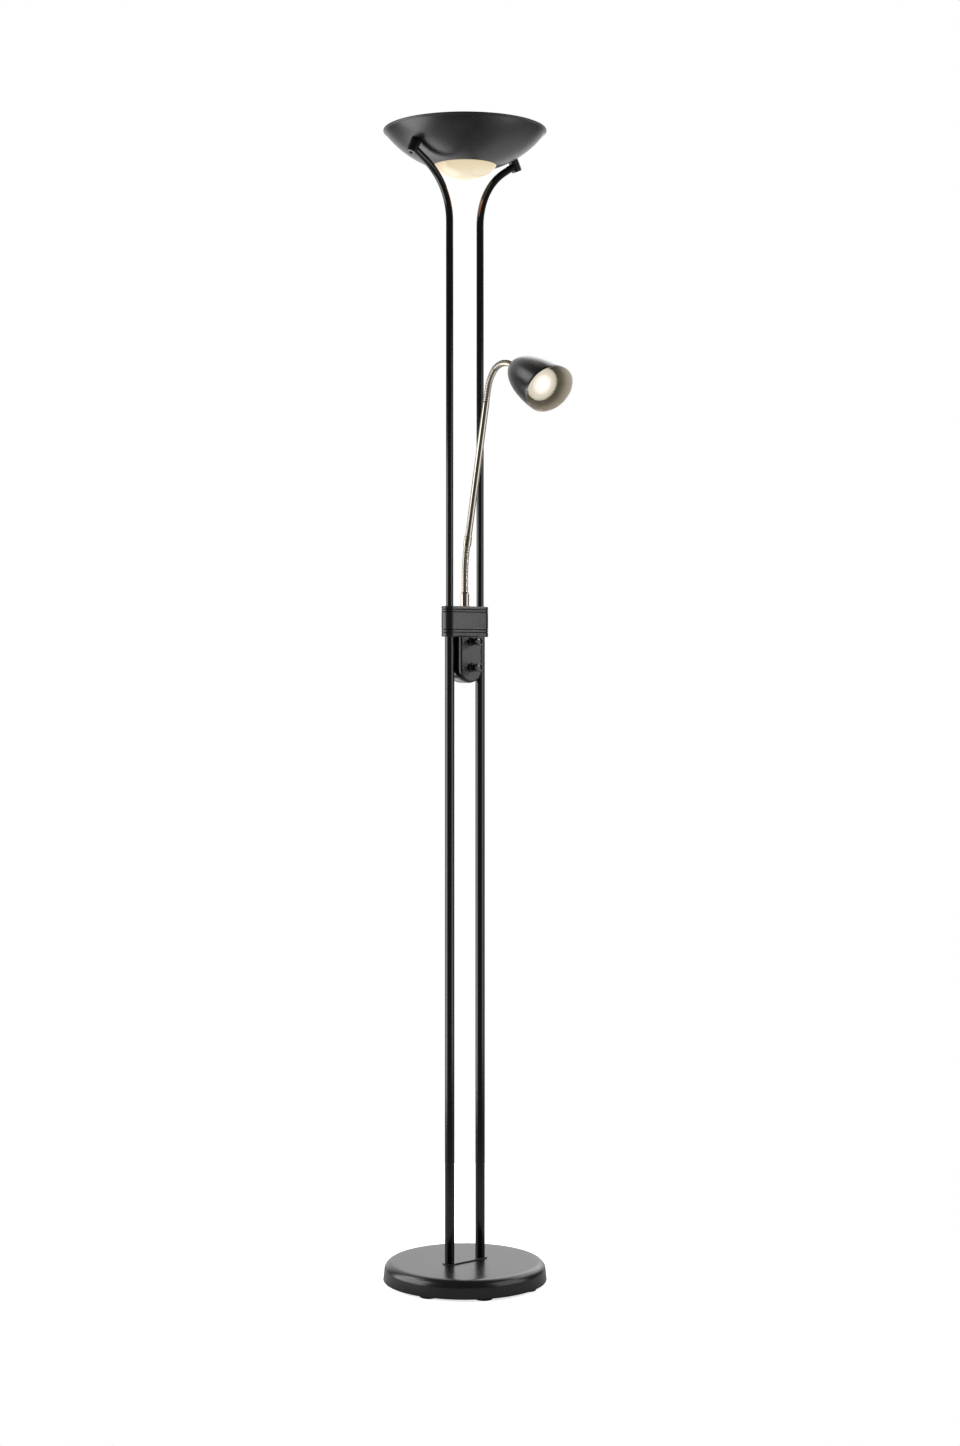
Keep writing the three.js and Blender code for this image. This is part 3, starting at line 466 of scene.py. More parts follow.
def tube_tree():
    """A round tube along a line. Its radius swells and falls to make ribs."""
    found = bpy.data.node_groups.get("tube_along_line")
    if found:
        return found
    tree, given = new_tree("tube_along_line", {
        "Radius": "Float", "Rib Height": "Float", "Rib Pitch": "Float", "Step": "Float",
        "Sides": "Int", "Material": "Material"})
    line = add_node(tree, "GeometryNodeMeshToCurve", {"Mesh": given["Geometry"]})
    even = add_node(tree, "GeometryNodeResampleCurve", {
        "Curve": line.outputs["Curve"], "Length": given["Step"]}, mode="LENGTH")
    along = add_node(tree, "GeometryNodeSplineParameter")
    ribs = add_node(tree, "ShaderNodeMath", {
        0: along.outputs["Length"], 1: given["Rib Pitch"]}, operation="DIVIDE")
    turns = add_node(tree, "ShaderNodeMath", {0: ribs.outputs[0], 1: 2 * math.pi}, operation="MULTIPLY")
    wave = add_node(tree, "ShaderNodeMath", {0: turns.outputs[0]}, operation="COSINE")
    fall = add_node(tree, "ShaderNodeMath", {0: wave.outputs[0], 1: -0.5, 2: -0.5}, operation="MULTIPLY_ADD")
    radius = add_node(tree, "ShaderNodeMath", {
        0: fall.outputs[0], 1: given["Rib Height"], 2: given["Radius"]}, operation="MULTIPLY_ADD")
    section = add_node(tree, "GeometryNodeCurvePrimitiveCircle", {
        "Resolution": given["Sides"], "Radius": 1.0})
    skin = add_node(tree, "GeometryNodeCurveToMesh", {
        "Curve": even.outputs["Curve"], "Profile Curve": section.outputs["Curve"],
        "Scale": radius.outputs[0], "Fill Caps": True})
    whole = add_node(tree, "GeometryNodeRealizeInstances", {"Geometry": skin.outputs["Mesh"]})
    painted = add_node(tree, "GeometryNodeSetMaterial", {
        "Geometry": whole.outputs["Geometry"], "Material": given["Material"]})
    add_node(tree, "NodeGroupOutput", {"Geometry": painted.outputs["Geometry"]})
    return tree


def circle_tree():
    """Copies of one object, evenly round a circle about Z."""
    found = bpy.data.node_groups.get("copies_round_circle")
    if found:
        return found
    tree, given = new_tree("copies_round_circle", {
        "Object": "Object", "Count": "Int", "Radius": "Float", "Start": "Float", "Material": "Material"})
    ring = add_node(tree, "GeometryNodeMeshCircle", {"Vertices": given["Count"], "Radius": given["Radius"]})
    start = add_node(tree, "ShaderNodeCombineXYZ", {"Z": given["Start"]})
    turned_ring = add_node(tree, "GeometryNodeTransform", {
        "Geometry": ring.outputs["Mesh"], "Rotation": start.outputs["Vector"]})
    source = add_node(tree, "GeometryNodeObjectInfo", {"Object": given["Object"]})
    copies = add_node(tree, "GeometryNodeInstanceOnPoints", {
        "Points": turned_ring.outputs["Geometry"], "Instance": source.outputs["Geometry"]})
    whole = add_node(tree, "GeometryNodeRealizeInstances", {"Geometry": copies.outputs["Instances"]})
    painted = add_node(tree, "GeometryNodeSetMaterial", {
        "Geometry": whole.outputs["Geometry"], "Material": given["Material"]})
    add_node(tree, "NodeGroupOutput", {"Geometry": painted.outputs["Geometry"]})
    return tree


def grow(name, tree, values, line=()):
    """Runs a tree on a line of points and keeps the plain mesh that it makes."""
    mesh = bpy.data.meshes.new(name)
    points = [tuple(p) for p in line]
    mesh.from_pydata(points, [(i, i + 1) for i in range(len(points) - 1)], [])
    thing = bpy.data.objects.new(name, mesh)
    bpy.context.scene.collection.objects.link(thing)
    modifier = thing.modifiers.new("grow", "NODES")
    modifier.node_group = tree
    for item in tree.interface.items_tree:
        if item.in_out == "INPUT" and item.name in values:
            modifier[item.identifier] = values[item.name]
    harden(thing)
    thing.data.shade_smooth()
    thing.data.set_sharp_from_angle(angle=math.radians(50))
    return thing


def tube(name, line, radius, material, ribbed=False, step=5.0, sides=40):
    """A tube along a line of points in metres. Its radius and step are in millimetres."""
    sizes = bpy.context.scene.lamp_sizes
    return grow(name, tube_tree(), {
        "Radius": radius * MM, "Step": sizes.rib_pitch / 6 if ribbed else step * MM,
        "Rib Height": sizes.rib_height if ribbed else 0.0, "Rib Pitch": sizes.rib_pitch,
        "Sides": sides, "Material": material}, line)


# ---------------------------------------------------------------- base

BASE_DRAFT = 1.5
BASE_ROUNDING = 13
SHEET = 1.2
FOOT_TURN = math.radians(65)
FOOT_CIRCLE = 110.7


class LAMP_OT_base(bpy.types.Operator):
    """Makes the round base with its feet, grommet and the plate under the posts"""

    bl_idname = "lamp.base"
    bl_label = "Base"

    def execute(self, context):
        segments = context.scene.lamp_sizes.round_segments
        radius, top, bottom = high("base_cover", 0), high("base_cover", 2), low("base_cover", 2)
        start = radius - BASE_DRAFT - BASE_ROUNDING
        height = top - BASE_ROUNDING
        hem = 0.7
        outer = arc(start, height, BASE_ROUNDING, 0, 90, 18)
        inner = arc(start, height, BASE_ROUNDING - SHEET, 90, 0, 12)
        flat = [start * k for k in (0.9, 0.6, 0.3)]
        profile = [
            *arc(radius - hem, bottom + hem, hem, -90, 0, 4), *outer,
            *[(r, top) for r in flat], (0, top), (0, top - SHEET), *inner,
            (radius - SHEET - BASE_DRAFT / 2, bottom + 3), (radius - 2 * hem - 0.3, bottom + hem),
        ]
        cover = piece("base_cover_enamelled", turned(profile, segments), base_enamel())
        inlet = (low("cable_grommet", 2) + high("cable_grommet", 2)) / 2
        back = Matrix.Translation((0, 0, inlet * MM)) @ Matrix.Rotation(-math.pi / 2, 4, "X")
        drill = [(0, radius - 12), (5.3, radius - 12), (5.3, radius + 6), (0, radius + 6)]
        bored(cover, turned(drill, 32), back)
        settle(cover, "stand", "black_paint", "base_cover")

        end = high("cable_grommet", 1)
        wall = radius - SHEET
        profile = [
            (3.6, wall - 4.5), (6.4, wall - 4.5), (7, wall - 4), (7, wall - 2.5), (4.9, wall - 2.3),
            (4.9, radius + 0.2), (7, radius + 0.3), *arc(6, end - 1, 1, 0, 90, 4),
            *arc(4.3, end - 0.7, 0.7, 90, 180, 4),
        ]
        grommet = piece("cable_inlet_grommet", turned(profile, 48), moulded_rubber(), back)
        settle(grommet, "stand", "rubber", "cable_grommet")

        foot_radius, foot_height = (high("foot_1", 0) - low("foot_1", 0)) / 2, high("foot_1", 2)
        profile = [
            (0, 0.4), (foot_radius * 0.6, 0.4), (foot_radius * 0.66, 0),
            *arc(foot_radius - 1, 1, 1, -90, 0, 5),
            (foot_radius - 0.4, foot_height), (0, foot_height),
        ]
        foot = piece("foot_pattern", turned(profile, 40), moulded_rubber())
        feet = grow("rubber_feet", circle_tree(), {
            "Object": foot, "Count": 8, "Radius": FOOT_CIRCLE * MM, "Start": FOOT_TURN,
            "Material": moulded_rubber()})
        bpy.data.objects.remove(foot)
        settle(feet, "stand", "rubber", *[f"foot_{i}" for i in range(1, 9)])

        pad_radius, pad_top = high("centre_pad", 0), high("centre_pad", 2)
        profile = [
            (0, 0), (pad_radius - 0.8, 0), (pad_radius, 0.8), (pad_radius, pad_top - 0.2), (0, pad_top - 0.2),
        ]
        settle(piece("felt_pad", turned(profile, 96), pressed_felt()), "stand", "felt", "centre_pad")

        plate_low = low("base_plate", 2)
        profile = [
            (0, plate_low - 0.9), (2.4, plate_low - 0.9), (3.6, plate_low - 0.6), (4, plate_low + 0.2),
            (0, plate_low + 0.3),
        ]
        head = piece("screw_pattern", turned(profile, 20), zinc_plate())
        screws = grow("closing_plate_screws", circle_tree(), {
            "Object": head, "Count": 4, "Radius": 70 * MM, "Start": math.radians(20),
            "Material": zinc_plate()})
        bpy.data.objects.remove(head)
        settle(screws, "stand", "zinc_steel")

        post_x = (low("post_stud_right", 0) + high("post_stud_right", 0)) / 2
        end_radius = high("post_plate", 0) - post_x
        plate_low, plate_top = low("post_plate", 2), high("post_plate", 2)
        sections = [(0, plate_low - 0.25), (0, plate_top - 0.1), (0.1, plate_top)]
        shape = stacked(lambda inset: obround(post_x, end_radius - inset, 24), sections)
        foot_plate = piece("post_foot_plate", shape, base_enamel())
        # Painted shade: the plate's sheet edges get matt black rubber, so the front edge reads as a dark
        # line.
        foot_plate.data.materials.append(moulded_rubber())
        for face in foot_plate.data.polygons:
            face.material_index = 0 if abs(face.normal.z) > 0.6 else 1
        settle(foot_plate, "stand", "black_paint", "post_plate")

        repaint(cast_iron(), "base_weight")
        repaint(zinc_plate(), "base_plate", *[f"post_{part}_{side}" for part in ("stud", "nut")
                                              for side in ("left", "right")])
        return {"FINISHED"}


def obround(half_span, end_radius, steps):
    """Outline of two half circles joined by straight sides."""
    return arc(half_span, 0, end_radius, -90, 90, steps) + arc(-half_span, 0, end_radius, 90, 270, steps)


# ---------------------------------------------------------------- posts and collar

ARM_BEND_RADIUS = 105
ARM_BEND = math.radians(57)
BOSS_TILT = math.radians(26.5)
BOSS_TUBE_OFFSET = 12
BOSS_RADIUS = 8.25
BOSS_LENGTH = 22
GROOVES = (6.8, 11.2, 38.5, 42.5)
GROOVE_WIDTH = 1.4
GROOVE_DEPTH = 1.0


def boss_foot():
    """Where a boss's axis meets the bowl, as its distance from the lamp's axis and its height."""
    centre, radius = bowl_sphere()
    foot_x = 98.2
    return foot_x, centre - math.sqrt(radius ** 2 - foot_x ** 2)


def upper_tube_line(side, post_x, bottom):
    foot_x, foot_z = boss_foot()
    meet_x = foot_x + BOSS_TUBE_OFFSET * math.sin(BOSS_TILT)
    meet_z = foot_z - BOSS_TUBE_OFFSET * math.cos(BOSS_TILT)
    bend_end_x = post_x + ARM_BEND_RADIUS * (1 - math.cos(ARM_BEND))
    bend_end_z = meet_z - (meet_x - bend_end_x) / math.tan(ARM_BEND)
    bend_start_z = bend_end_z - ARM_BEND_RADIUS * math.sin(ARM_BEND)
    points = [(post_x, bottom)]
    for i in range(41):
        turn = ARM_BEND * i / 40
        points.append((post_x + ARM_BEND_RADIUS * (1 - math.cos(turn)),
                       bend_start_z + ARM_BEND_RADIUS * math.sin(turn)))
    short = 3
    points.append((meet_x - short * math.sin(ARM_BEND), meet_z - short * math.cos(ARM_BEND)))
    return [(side * x * MM, 0, z * MM) for x, z in points]


class LAMP_OT_posts(bpy.types.Operator):
    """Makes the two posts, lower and upper, and the grooved collar that joins them"""

    bl_idname = "lamp.posts"
    bl_label = "Posts"

    def execute(self, context):
        edge = context.scene.lamp_sizes.edge_round / MM
        bottom, top = low("collar", 2), high("collar", 2)
        for name, side in SIDES.items():
            node = f"lower_tube_{name}"
            post_x = (low(node, 0) + high(node, 0)) / 2
            radius = (high(node, 0) - low(node, 0)) / 2
            foot, head = low(node, 2) - 0.2, high(node, 2)
            bore = radius - 1.5
            heights = [foot + 1 + (head - foot - 1) * i / 8 for i in range(9)]
            profile = [
                (bore, foot), (radius - 0.9, foot), (radius - 0.2, foot + 0.35),
                *[(radius, h) for h in heights], (bore, head),
            ]
            tube_piece = piece(f"lower_post_{name}", turned(profile, 56), tube_enamel(),
                               Matrix.Translation((post_x * MM, 0, 0)))
            settle(tube_piece, "stand", "black_paint", node)
            line = upper_tube_line(side, abs(post_x), top - 20)
            upper = tube(f"upper_post_{name}", line, 5.75, tube_enamel(), step=6)
            settle(upper, "stand", "black_paint", f"upper_tube_{name}")
        end_radius = high("collar", 0) - abs(post_x)
        half_span = abs(post_x)
        sections = [(edge - inset, bottom + rise) for inset, rise in arc(0, edge, edge, -90, 0, 5)]
        for height in GROOVES:
            middle = bottom + height
            half = GROOVE_WIDTH / 2
            sections += [(0, middle - half), (GROOVE_DEPTH, middle - half * 0.7),
                         (GROOVE_DEPTH, middle + half * 0.7), (0, middle + half)]
        sections += [(edge - inset, top - edge + rise) for inset, rise in arc(0, 0, edge, 0, 90, 5)]
        shape = stacked(lambda inset: obround(half_span, end_radius - inset, 32), sections)
        collar = piece("grooved_collar", shape, satin_enamel())
        collar.data.materials.append(groove_painted_shade())
        middles = [(bottom + height) * MM for height in GROOVES]
        # Painted shade: faces inside the grooves get the matt black of the second slot.
        for face in collar.data.polygons:
            beside = min(abs(face.center.z - middle) for middle in middles)
            face.material_index = 1 if beside < GROOVE_WIDTH * 0.49 * MM else 0
        for side in SIDES.values():
            for radius, floor, ceiling in ((8.1, bottom - 5, bottom + 21), (6.35, top - 20.5, top + 5)):
                hole = turned([(0, floor), (radius, floor), (radius, ceiling), (0, ceiling)], 48)
                bored(collar, hole, Matrix.Translation((side * half_span * MM, 0, 0)))
        settle(collar, "stand", "black_paint", "collar")
        repaint(zinc_plate(), "collar_screw_left", "collar_screw_right")
        return {"FINISHED"}


# ---------------------------------------------------------------- control box

PLATE_SHEET = 1.5
HOUSING_WALL = 1.5
FLARE_DEPTH = 5.8
FLARE_INSET = 1.55


def box_outline(half_width, bottom, top, inset):
    """The control box from the front: square top, round bottom. Its points are x and height."""
    radius = half_width - inset
    round_part = arc(0, bottom + half_width, radius, 180, 360, 48)
    rise = [i / 6 for i in range(7)]
    side = bottom + half_width
    right = [(radius, side + (top - side) * k) for k in rise[1:]]
    left = [(-radius, side + (top - side) * k) for k in reversed(rise[1:])]
    return round_part + right + left


class LAMP_OT_control_box(bpy.types.Operator):
    """Makes the dimmer box between the posts, its front plate and its two knobs"""

    bl_idname = "lamp.control_box"
    bl_label = "Control box"

    def execute(self, context):
        gap = context.scene.lamp_sizes.plate_gap / MM
        half_width = high("control_plate", 0)
        bottom, top = low("control_plate", 2), high("control_plate", 2)
        front, back = -low("control_plate", 1), -high("control_housing", 1)
        # Sections are stacked forwards, so the box is drawn lying on its back and stood up.
        upright = Matrix.Rotation(math.pi / 2, 4, "X")

        def outline(inset):
            return box_outline(half_width, bottom, top, inset)

        rear, lip, soft = 1.5, 0.7, 0.3
        edge = [(rear - x, back + rear - y) for x, y in arc(0, 0, rear, 90, 0, 5)]
        sections = [
            (half_width * 0.4, back), *edge, (0, front - FLARE_DEPTH), (FLARE_INSET, front - soft),
            (FLARE_INSET + soft, front), (FLARE_INSET + lip, front), (FLARE_INSET + lip, front - 4),
            (HOUSING_WALL, front - FLARE_DEPTH - 1), (HOUSING_WALL, back + HOUSING_WALL),
            (half_width * 0.4, back + HOUSING_WALL),
        ]
        housing = piece("control_box_housing", stacked(outline, sections), tube_enamel(), upright)
        settle(housing, "stand", "black_paint", "control_housing")

        edge = FLARE_INSET + lip + gap
        sections = [(half_width * 0.4, front - PLATE_SHEET), (edge, front - PLATE_SHEET),
                    (edge, front - soft), (edge + soft, front), (half_width * 0.4, front)]
        plate = piece("control_front_plate", stacked(outline, sections), plate_enamel(), upright)
        settle(plate, "stand", "black_paint", "control_plate")

        for name in ("upper", "lower"):
            node = f"dimmer_knob_{name}"
            height = (low(node, 2) + high(node, 2)) / 2
            facing = Matrix.Translation((0, 0, height * MM)) @ upright
            shape = turned(knob_profile(-high(node, 1), -low(node, 1)), 72)
            knob = piece(f"dimmer_cap_{name}", shape, knob_plastic(), facing)
            settle(knob, f"{name}_knob", "black_gloss", node)
        repaint(zinc_plate(), *[f"dimmer_{part}_{level}" for part in ("nut", "shaft")
                                for level in ("upper", "lower")])
        repaint(grey_nylon(), "dimmer_upper", "dimmer_lower", "terminal_block")
        return {"FINISHED"}


def knob_profile(back, tip):
    """A stepped knob: a broad skirt, a waist and a rimmed end with a shallow dome in it."""
    skirt, waist, cap = 7.0, 5.8, 6.65
    return [
        (0, back + 1.2), (skirt - 1.3, back + 1.2), (skirt - 1.1, back), (skirt - 0.3, back),
        *arc(skirt - 0.5, back + 2.4, 0.5, 0, 90, 4), (waist + 0.5, back + 3.2),
        *arc(waist + 0.6, back + 4.3, 0.8, 235, 180, 3), (waist, back + 6), (waist, tip - 6.2),
        *arc(cap - 0.9, tip - 4.6, 0.9, -40, 0, 3), *arc(cap - 0.8, tip - 1.1, 0.8, 0, 90, 5),
        *arc(cap - 1.2, tip - 0.6, 0.35, 90, 180, 3), (cap - 1.9, tip - 1.1),
        *[((cap - 2.3) * math.cos(math.radians(a)), tip - 1.2 + 0.9 * math.sin(math.radians(a)))
          for a in (15, 35, 55, 75)], (0, tip - 0.25),
    ]


# ---------------------------------------------------------------- reading arm

ARM_TURN = math.radians(-8)
ARM_LEAN = math.radians(14.2)
HOSE_RADIUS = 5.25
SOCKET_TOP = 1075
LOWER_STRAIGHT = 23
LOWER_BEND_RADIUS = 196
ARM_TUBE_LENGTH = 228
FERRULE_LENGTH = 16
UPPER_HOSE_ROUTE = ((70.5, 1395.3), (81.5, 1409.6), (90.5, 1415.8), (104, 1419.6), (118, 1419.4),
                    (130.5, 1416.6))
SHADE_TIP = (140, 1412)
SHADE_DROP = math.radians(24.7)
SHADE_FLAT = 2.2


def in_plane(forward, height):
    """A point of the arm's upright plane, in metres."""
    return Matrix.Rotation(ARM_TURN, 3, "Z") @ Vector((0, -forward, height)) * MM


def lower_hose_line():
    """Points up the lower hose from the socket's top to the ferrule."""
    points = [(0, SOCKET_TOP + LOWER_STRAIGHT * i / 4) for i in range(4)]
    for i in range(25):
        turn = ARM_LEAN * i / 24
        points.append((LOWER_BEND_RADIUS * (1 - math.cos(turn)),
                       SOCKET_TOP + LOWER_STRAIGHT + LOWER_BEND_RADIUS * math.sin(turn)))
    return points


def smooth_line(points, steps):
    """A smooth line through points, as the uniform Catmull-Rom curve."""
    ends = [[2 * a - b for a, b in zip(points[0], points[1])], *points,
            [2 * a - b for a, b in zip(points[-1], points[-2])]]
    line = []
    for i in range(len(points) - 1):
        p = ends[i:i + 4]
        for k in range(steps):
            t = k / steps
            weights = (-t + 2 * t ** 2 - t ** 3, 2 - 5 * t ** 2 + 3 * t ** 3,
                       t + 4 * t ** 2 - 3 * t ** 3, t ** 3 - t ** 2)
            line.append(tuple(sum(w * q[axis] for w, q in zip(weights, p)) / 2 for axis in (0, 1)))
    return [*line, tuple(points[-1])]


def split_line(points):
    """Cuts a line of [forward, height] points in two halves of equal length."""
    lengths = [math.dist(a, b) for a, b in zip(points, points[1:])]
    done, half = 0.0, sum(lengths) / 2
    for i, length in enumerate(lengths):
        if done + length >= half:
            k = (half - done) / length
            middle = tuple(a + (b - a) * k for a, b in zip(points[i], points[i + 1]))
            return [*points[:i + 1], middle], [middle, *points[i + 1:]]
        done += length


def hose(names, points, tuck, nodes):
    """Makes both halves of a ribbed hose, cut at the middle of its length."""
    first, second = split_line(points)
    overlaps = ((tuck[0], 0), (0, tuck[1]))
    for i, half in enumerate((first, second)):
        run = [in_plane(*point) for point in half]
        before, after = overlaps[i]
        if before:
            run.insert(0, run[0] + (run[0] - run[1]).normalized() * before * MM)
        if after:
            run.append(run[-1] + (run[-1] - run[-2]).normalized() * after * MM)
        made = tube(names[i], run, HOSE_RADIUS, satin_nickel(), ribbed=True, sides=28)
        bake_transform(made)
        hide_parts(nodes[i])


class LAMP_OT_reading_arm(bpy.types.Operator):
    """Makes the nickel reading arm: socket, ribbed hoses, ferrule and straight tube"""

    bl_idname = "lamp.reading_arm"
    bl_label = "Reading arm"

    def execute(self, context):
        bottom, seat, grip = low("arm_socket", 2), high("collar", 2) + 0.05, low("lower_hose_root", 2) - 0.3
        radius, stud, bore = 6.6, 4.7, 2.6
        profile = [
            (bore, bottom), (stud - 0.5, bottom), (stud, bottom + 0.5), (stud, seat), (radius, seat),
            (radius, SOCKET_TOP - 3.4), *arc(radius - 1, SOCKET_TOP - 3, 1, 0, 40, 4),
            (HOSE_RADIUS + 0.6, SOCKET_TOP - 0.3), (HOSE_RADIUS + 0.25, SOCKET_TOP),
            (HOSE_RADIUS + 0.25, grip), (bore, grip),
        ]
        socket = piece("hose_socket", turned(profile, 56), satin_nickel())
        settle(socket, "stand", "satin_nickel", "arm_socket")

        lower = lower_hose_line()
        hose(("lower_hose_fixed_half", "lower_hose_free_half"), lower, (6, 6),
             ("lower_hose_root", "lower_hose_tip"))

        start = lower[-1]
        lean = (math.sin(ARM_LEAN), math.cos(ARM_LEAN))
        along = Matrix.Translation(in_plane(*start)) @ Matrix.Rotation(ARM_TURN, 4, "Z") \
            @ Matrix.Rotation(ARM_LEAN, 4, "X")
        outer, inner, edge = 6.1, HOSE_RADIUS + 0.2, 0.7
        profile = [
            (inner, 0), *arc(outer - edge, edge, edge, -90, 0, 5),
            *arc(outer - edge, FERRULE_LENGTH - edge, edge, 0, 90, 5), (inner, FERRULE_LENGTH),
        ]
        settle(piece("hose_ferrule", turned(profile, 56), satin_nickel(), along), "arm", "satin_nickel",
               "arm_ferrule")
        top = ARM_TUBE_LENGTH
        profile = [
            (HOSE_RADIUS - 1, 7.8), (HOSE_RADIUS, 7.8),
            *[(HOSE_RADIUS, 20 + (top - 22) * i / 10) for i in range(11)],
            (HOSE_RADIUS, top - 1), (HOSE_RADIUS - 0.3, top - 0.2), (HOSE_RADIUS - 1, top - 0.2),
        ]
        settle(piece("arm_straight_tube", turned(profile, 56), satin_nickel(), along), "arm", "satin_nickel",
               "arm_tube")

        tube_end = (start[0] + lean[0] * top, start[1] + lean[1] * top)
        tip = (SHADE_TIP[0] + SHADE_FLAT * math.cos(SHADE_DROP),
               SHADE_TIP[1] - SHADE_FLAT * math.sin(SHADE_DROP))
        upper = smooth_line([tube_end, *UPPER_HOSE_ROUTE, tip], 8)
        hose(("upper_hose_fixed_half", "upper_hose_free_half"), upper,
             (4, 0.5),
             ("upper_hose_root", "upper_hose_tip"))
        repaint(zinc_plate(), "arm_nut")
        return {"FINISHED"}


# ---------------------------------------------------------------- reading head

SHADE_LENGTH = 105.3
SHADE_RADIUS = 38.4
SHADE_WALL = 1.0
SHADE_HOLE = 5.2
SHADE_BEAD = 0.5
SHADE_CUT = math.radians(11.5)
BULB_RECESS = 20
BULB_RADIUS = 25.4
BULB_LENGTH = 46


def head_place():
    """The reading head's own frame: origin at the shade's tip, Z along its axis, Y upwards."""
    tip = in_plane(*SHADE_TIP)
    return Matrix.Translation(tip) @ Matrix.Rotation(ARM_TURN, 4, "Z") \
        @ Matrix.Rotation(math.pi / 2 + SHADE_DROP, 4, "X")


def shade_shell(segments, bead):
    """Half an ellipsoid with an oblique mouth, closed down to the nipple's hole at its tip.

    Returns its shape and how many of its faces are outside.
    """
    seat, steps = SHADE_FLAT + 0.3, 30
    verts, faces = [], []

    def ring_point(turn, share, inset):
        length, radius = SHADE_LENGTH - inset, SHADE_RADIUS - inset
        rise = math.sin(turn)
        start = seat + inset
        z = start + (mouth_depth(turn) - bead - start) * (1 - math.cos(share * math.pi / 2))
        back = max(0.0, (SHADE_LENGTH - z) / length)
        r = radius * math.sqrt(max(0.0, 1 - back * back))
        return (r * math.cos(turn), r * rise, z)

    def mouth_depth(turn):
        return SHADE_LENGTH + SHADE_RADIUS * math.sin(turn) * math.tan(SHADE_CUT)

    def hole_ring(depth):
        turns = [2 * math.pi * i / segments for i in range(segments)]
        return [(SHADE_HOLE * math.cos(turn), SHADE_HOLE * math.sin(turn), depth) for turn in turns]

    shares = [i / steps for i in range(steps + 1)]
    rings = [hole_ring(seat)]
    for share in shares:
        rings.append([ring_point(2 * math.pi * i / segments, share, 0) for i in range(segments)])
    outside = len(rings) - 1
    lip = []
    for angle in (45, 90, 135):
        a = math.radians(angle)
        ring = []
        for i in range(segments):
            turn = 2 * math.pi * i / segments
            r = SHADE_RADIUS - SHADE_WALL / 2 + SHADE_WALL / 2 * math.cos(a)
            z = mouth_depth(turn) + bead * (math.sin(a) - 1)
            ring.append((r * math.cos(turn), r * math.sin(turn), z))
        lip.append(ring)
    rings += lip
    for share in reversed(shares):
        rings.append([ring_point(2 * math.pi * i / segments, share, SHADE_WALL) for i in range(segments)])
    rings.append(hole_ring(seat + SHADE_WALL))
    for ring in rings:
        verts += ring
    count = len(rings)
    for level in range(count):
        following = (level + 1) % count
        for i in range(segments):
            j = (i + 1) % segments
            faces.append([level * segments + i, level * segments + j,
                          following * segments + j, following * segments + i])
    return (verts, faces), (outside + 2) * segments


def ring_attribute(thing, distance):
    """Keeps each point's distance from a piece's middle, from 0 to 1, for its material to read."""
    attribute = thing.data.attributes.new("edge", "FLOAT", "POINT")
    attribute.data.foreach_set("value", [min(1.0, distance(v.co)) for v in thing.data.vertices])


class LAMP_OT_reading_head(bpy.types.Operator):
    """Makes the reading shade and the reflector bulb in it"""

    bl_idname = "lamp.reading_head"
    bl_label = "Reading head"

    def execute(self, context):
        segments = 120
        place = head_place()
        shape, outside = shade_shell(segments, SHADE_BEAD)
        shade = piece("bullet_shade", shape, satin_enamel(), place)
        shade.data.materials.append(silver_lacquer())
        for face in shade.data.polygons:
            face.material_index = 0 if face.index < outside else 1
        settle(shade, "head", "black_paint", "reading_shade")

        face, back = SHADE_LENGTH - BULB_RECESS, SHADE_LENGTH - BULB_RECESS - BULB_LENGTH
        rim = BULB_RADIUS
        profile = [
            (0, back), (12, back), (12.5, back + 0.5), (12.5, back + 8),
            *arc(13.5, back + 9.5, 1, 200, 150, 3),
            (14.5, back + 11), (18, back + 22), (22, back + 33), (rim - 0.9, face - 5.2),
            *arc(rim - 0.8, face - 4.2, 0.8, -60, 0, 3), *arc(rim - 0.8, face - 0.8, 0.8, 0, 90, 5),
            (rim - 1.6, face - 0.4), (rim - 1.8, face - 3), (0, face - 3),
        ]
        body = piece("reflector_bulb", turned(profile, 96), bulb_shell(), place)
        settle(body, "head", "bulb_white", "bulb_body")

        lens = rim - 1.9
        dome = [(lens * s, face + 0.4 - 1.4 * s ** 2 - (0.35 if step else 0))
                for s, step in ((0.97, 0), (0.9, 0), (0.88, 1), (0.8, 1), (0.78, 0), (0.66, 0), (0.64, 1),
                                (0.56, 1), (0.54, 0), (0.36, 0), (0.34, 1), (0.3, 1), (0.28, 0), (0.12, 0))]
        profile = [(0, face - 2.9), (lens, face - 2.9), (lens, face - 1.3), *dome, (0, face + 0.4)]
        glass = piece("bulb_front_lens", turned(profile, 96), lit_lens(), place)
        axis = (place.to_3x3() @ Vector((0, 0, 1))).normalized()
        tip = place.translation
        ring_attribute(glass, lambda co: ((co - tip) - axis * (co - tip).dot(axis)).length / (rim * MM))
        settle(glass, "head", "bulb_glass", "bulb_lens")
        repaint(steatite(), "bulb_holder")
        repaint(zinc_plate(), "head_nipple")
        return {"FINISHED"}


# ---------------------------------------------------------------- bowl

BOWL_RIM_RADIUS = 127.5
BOWL_RADIUS = 159.8
BOWL_HOLE = 49
DOME_RADIUS = 64
DOME_WALL = 3


def bowl_sphere():
    """Height of the bowl's centre, and its radius."""
    return high("bowl", 2) + math.sqrt(BOWL_RADIUS ** 2 - BOWL_RIM_RADIUS ** 2), BOWL_RADIUS


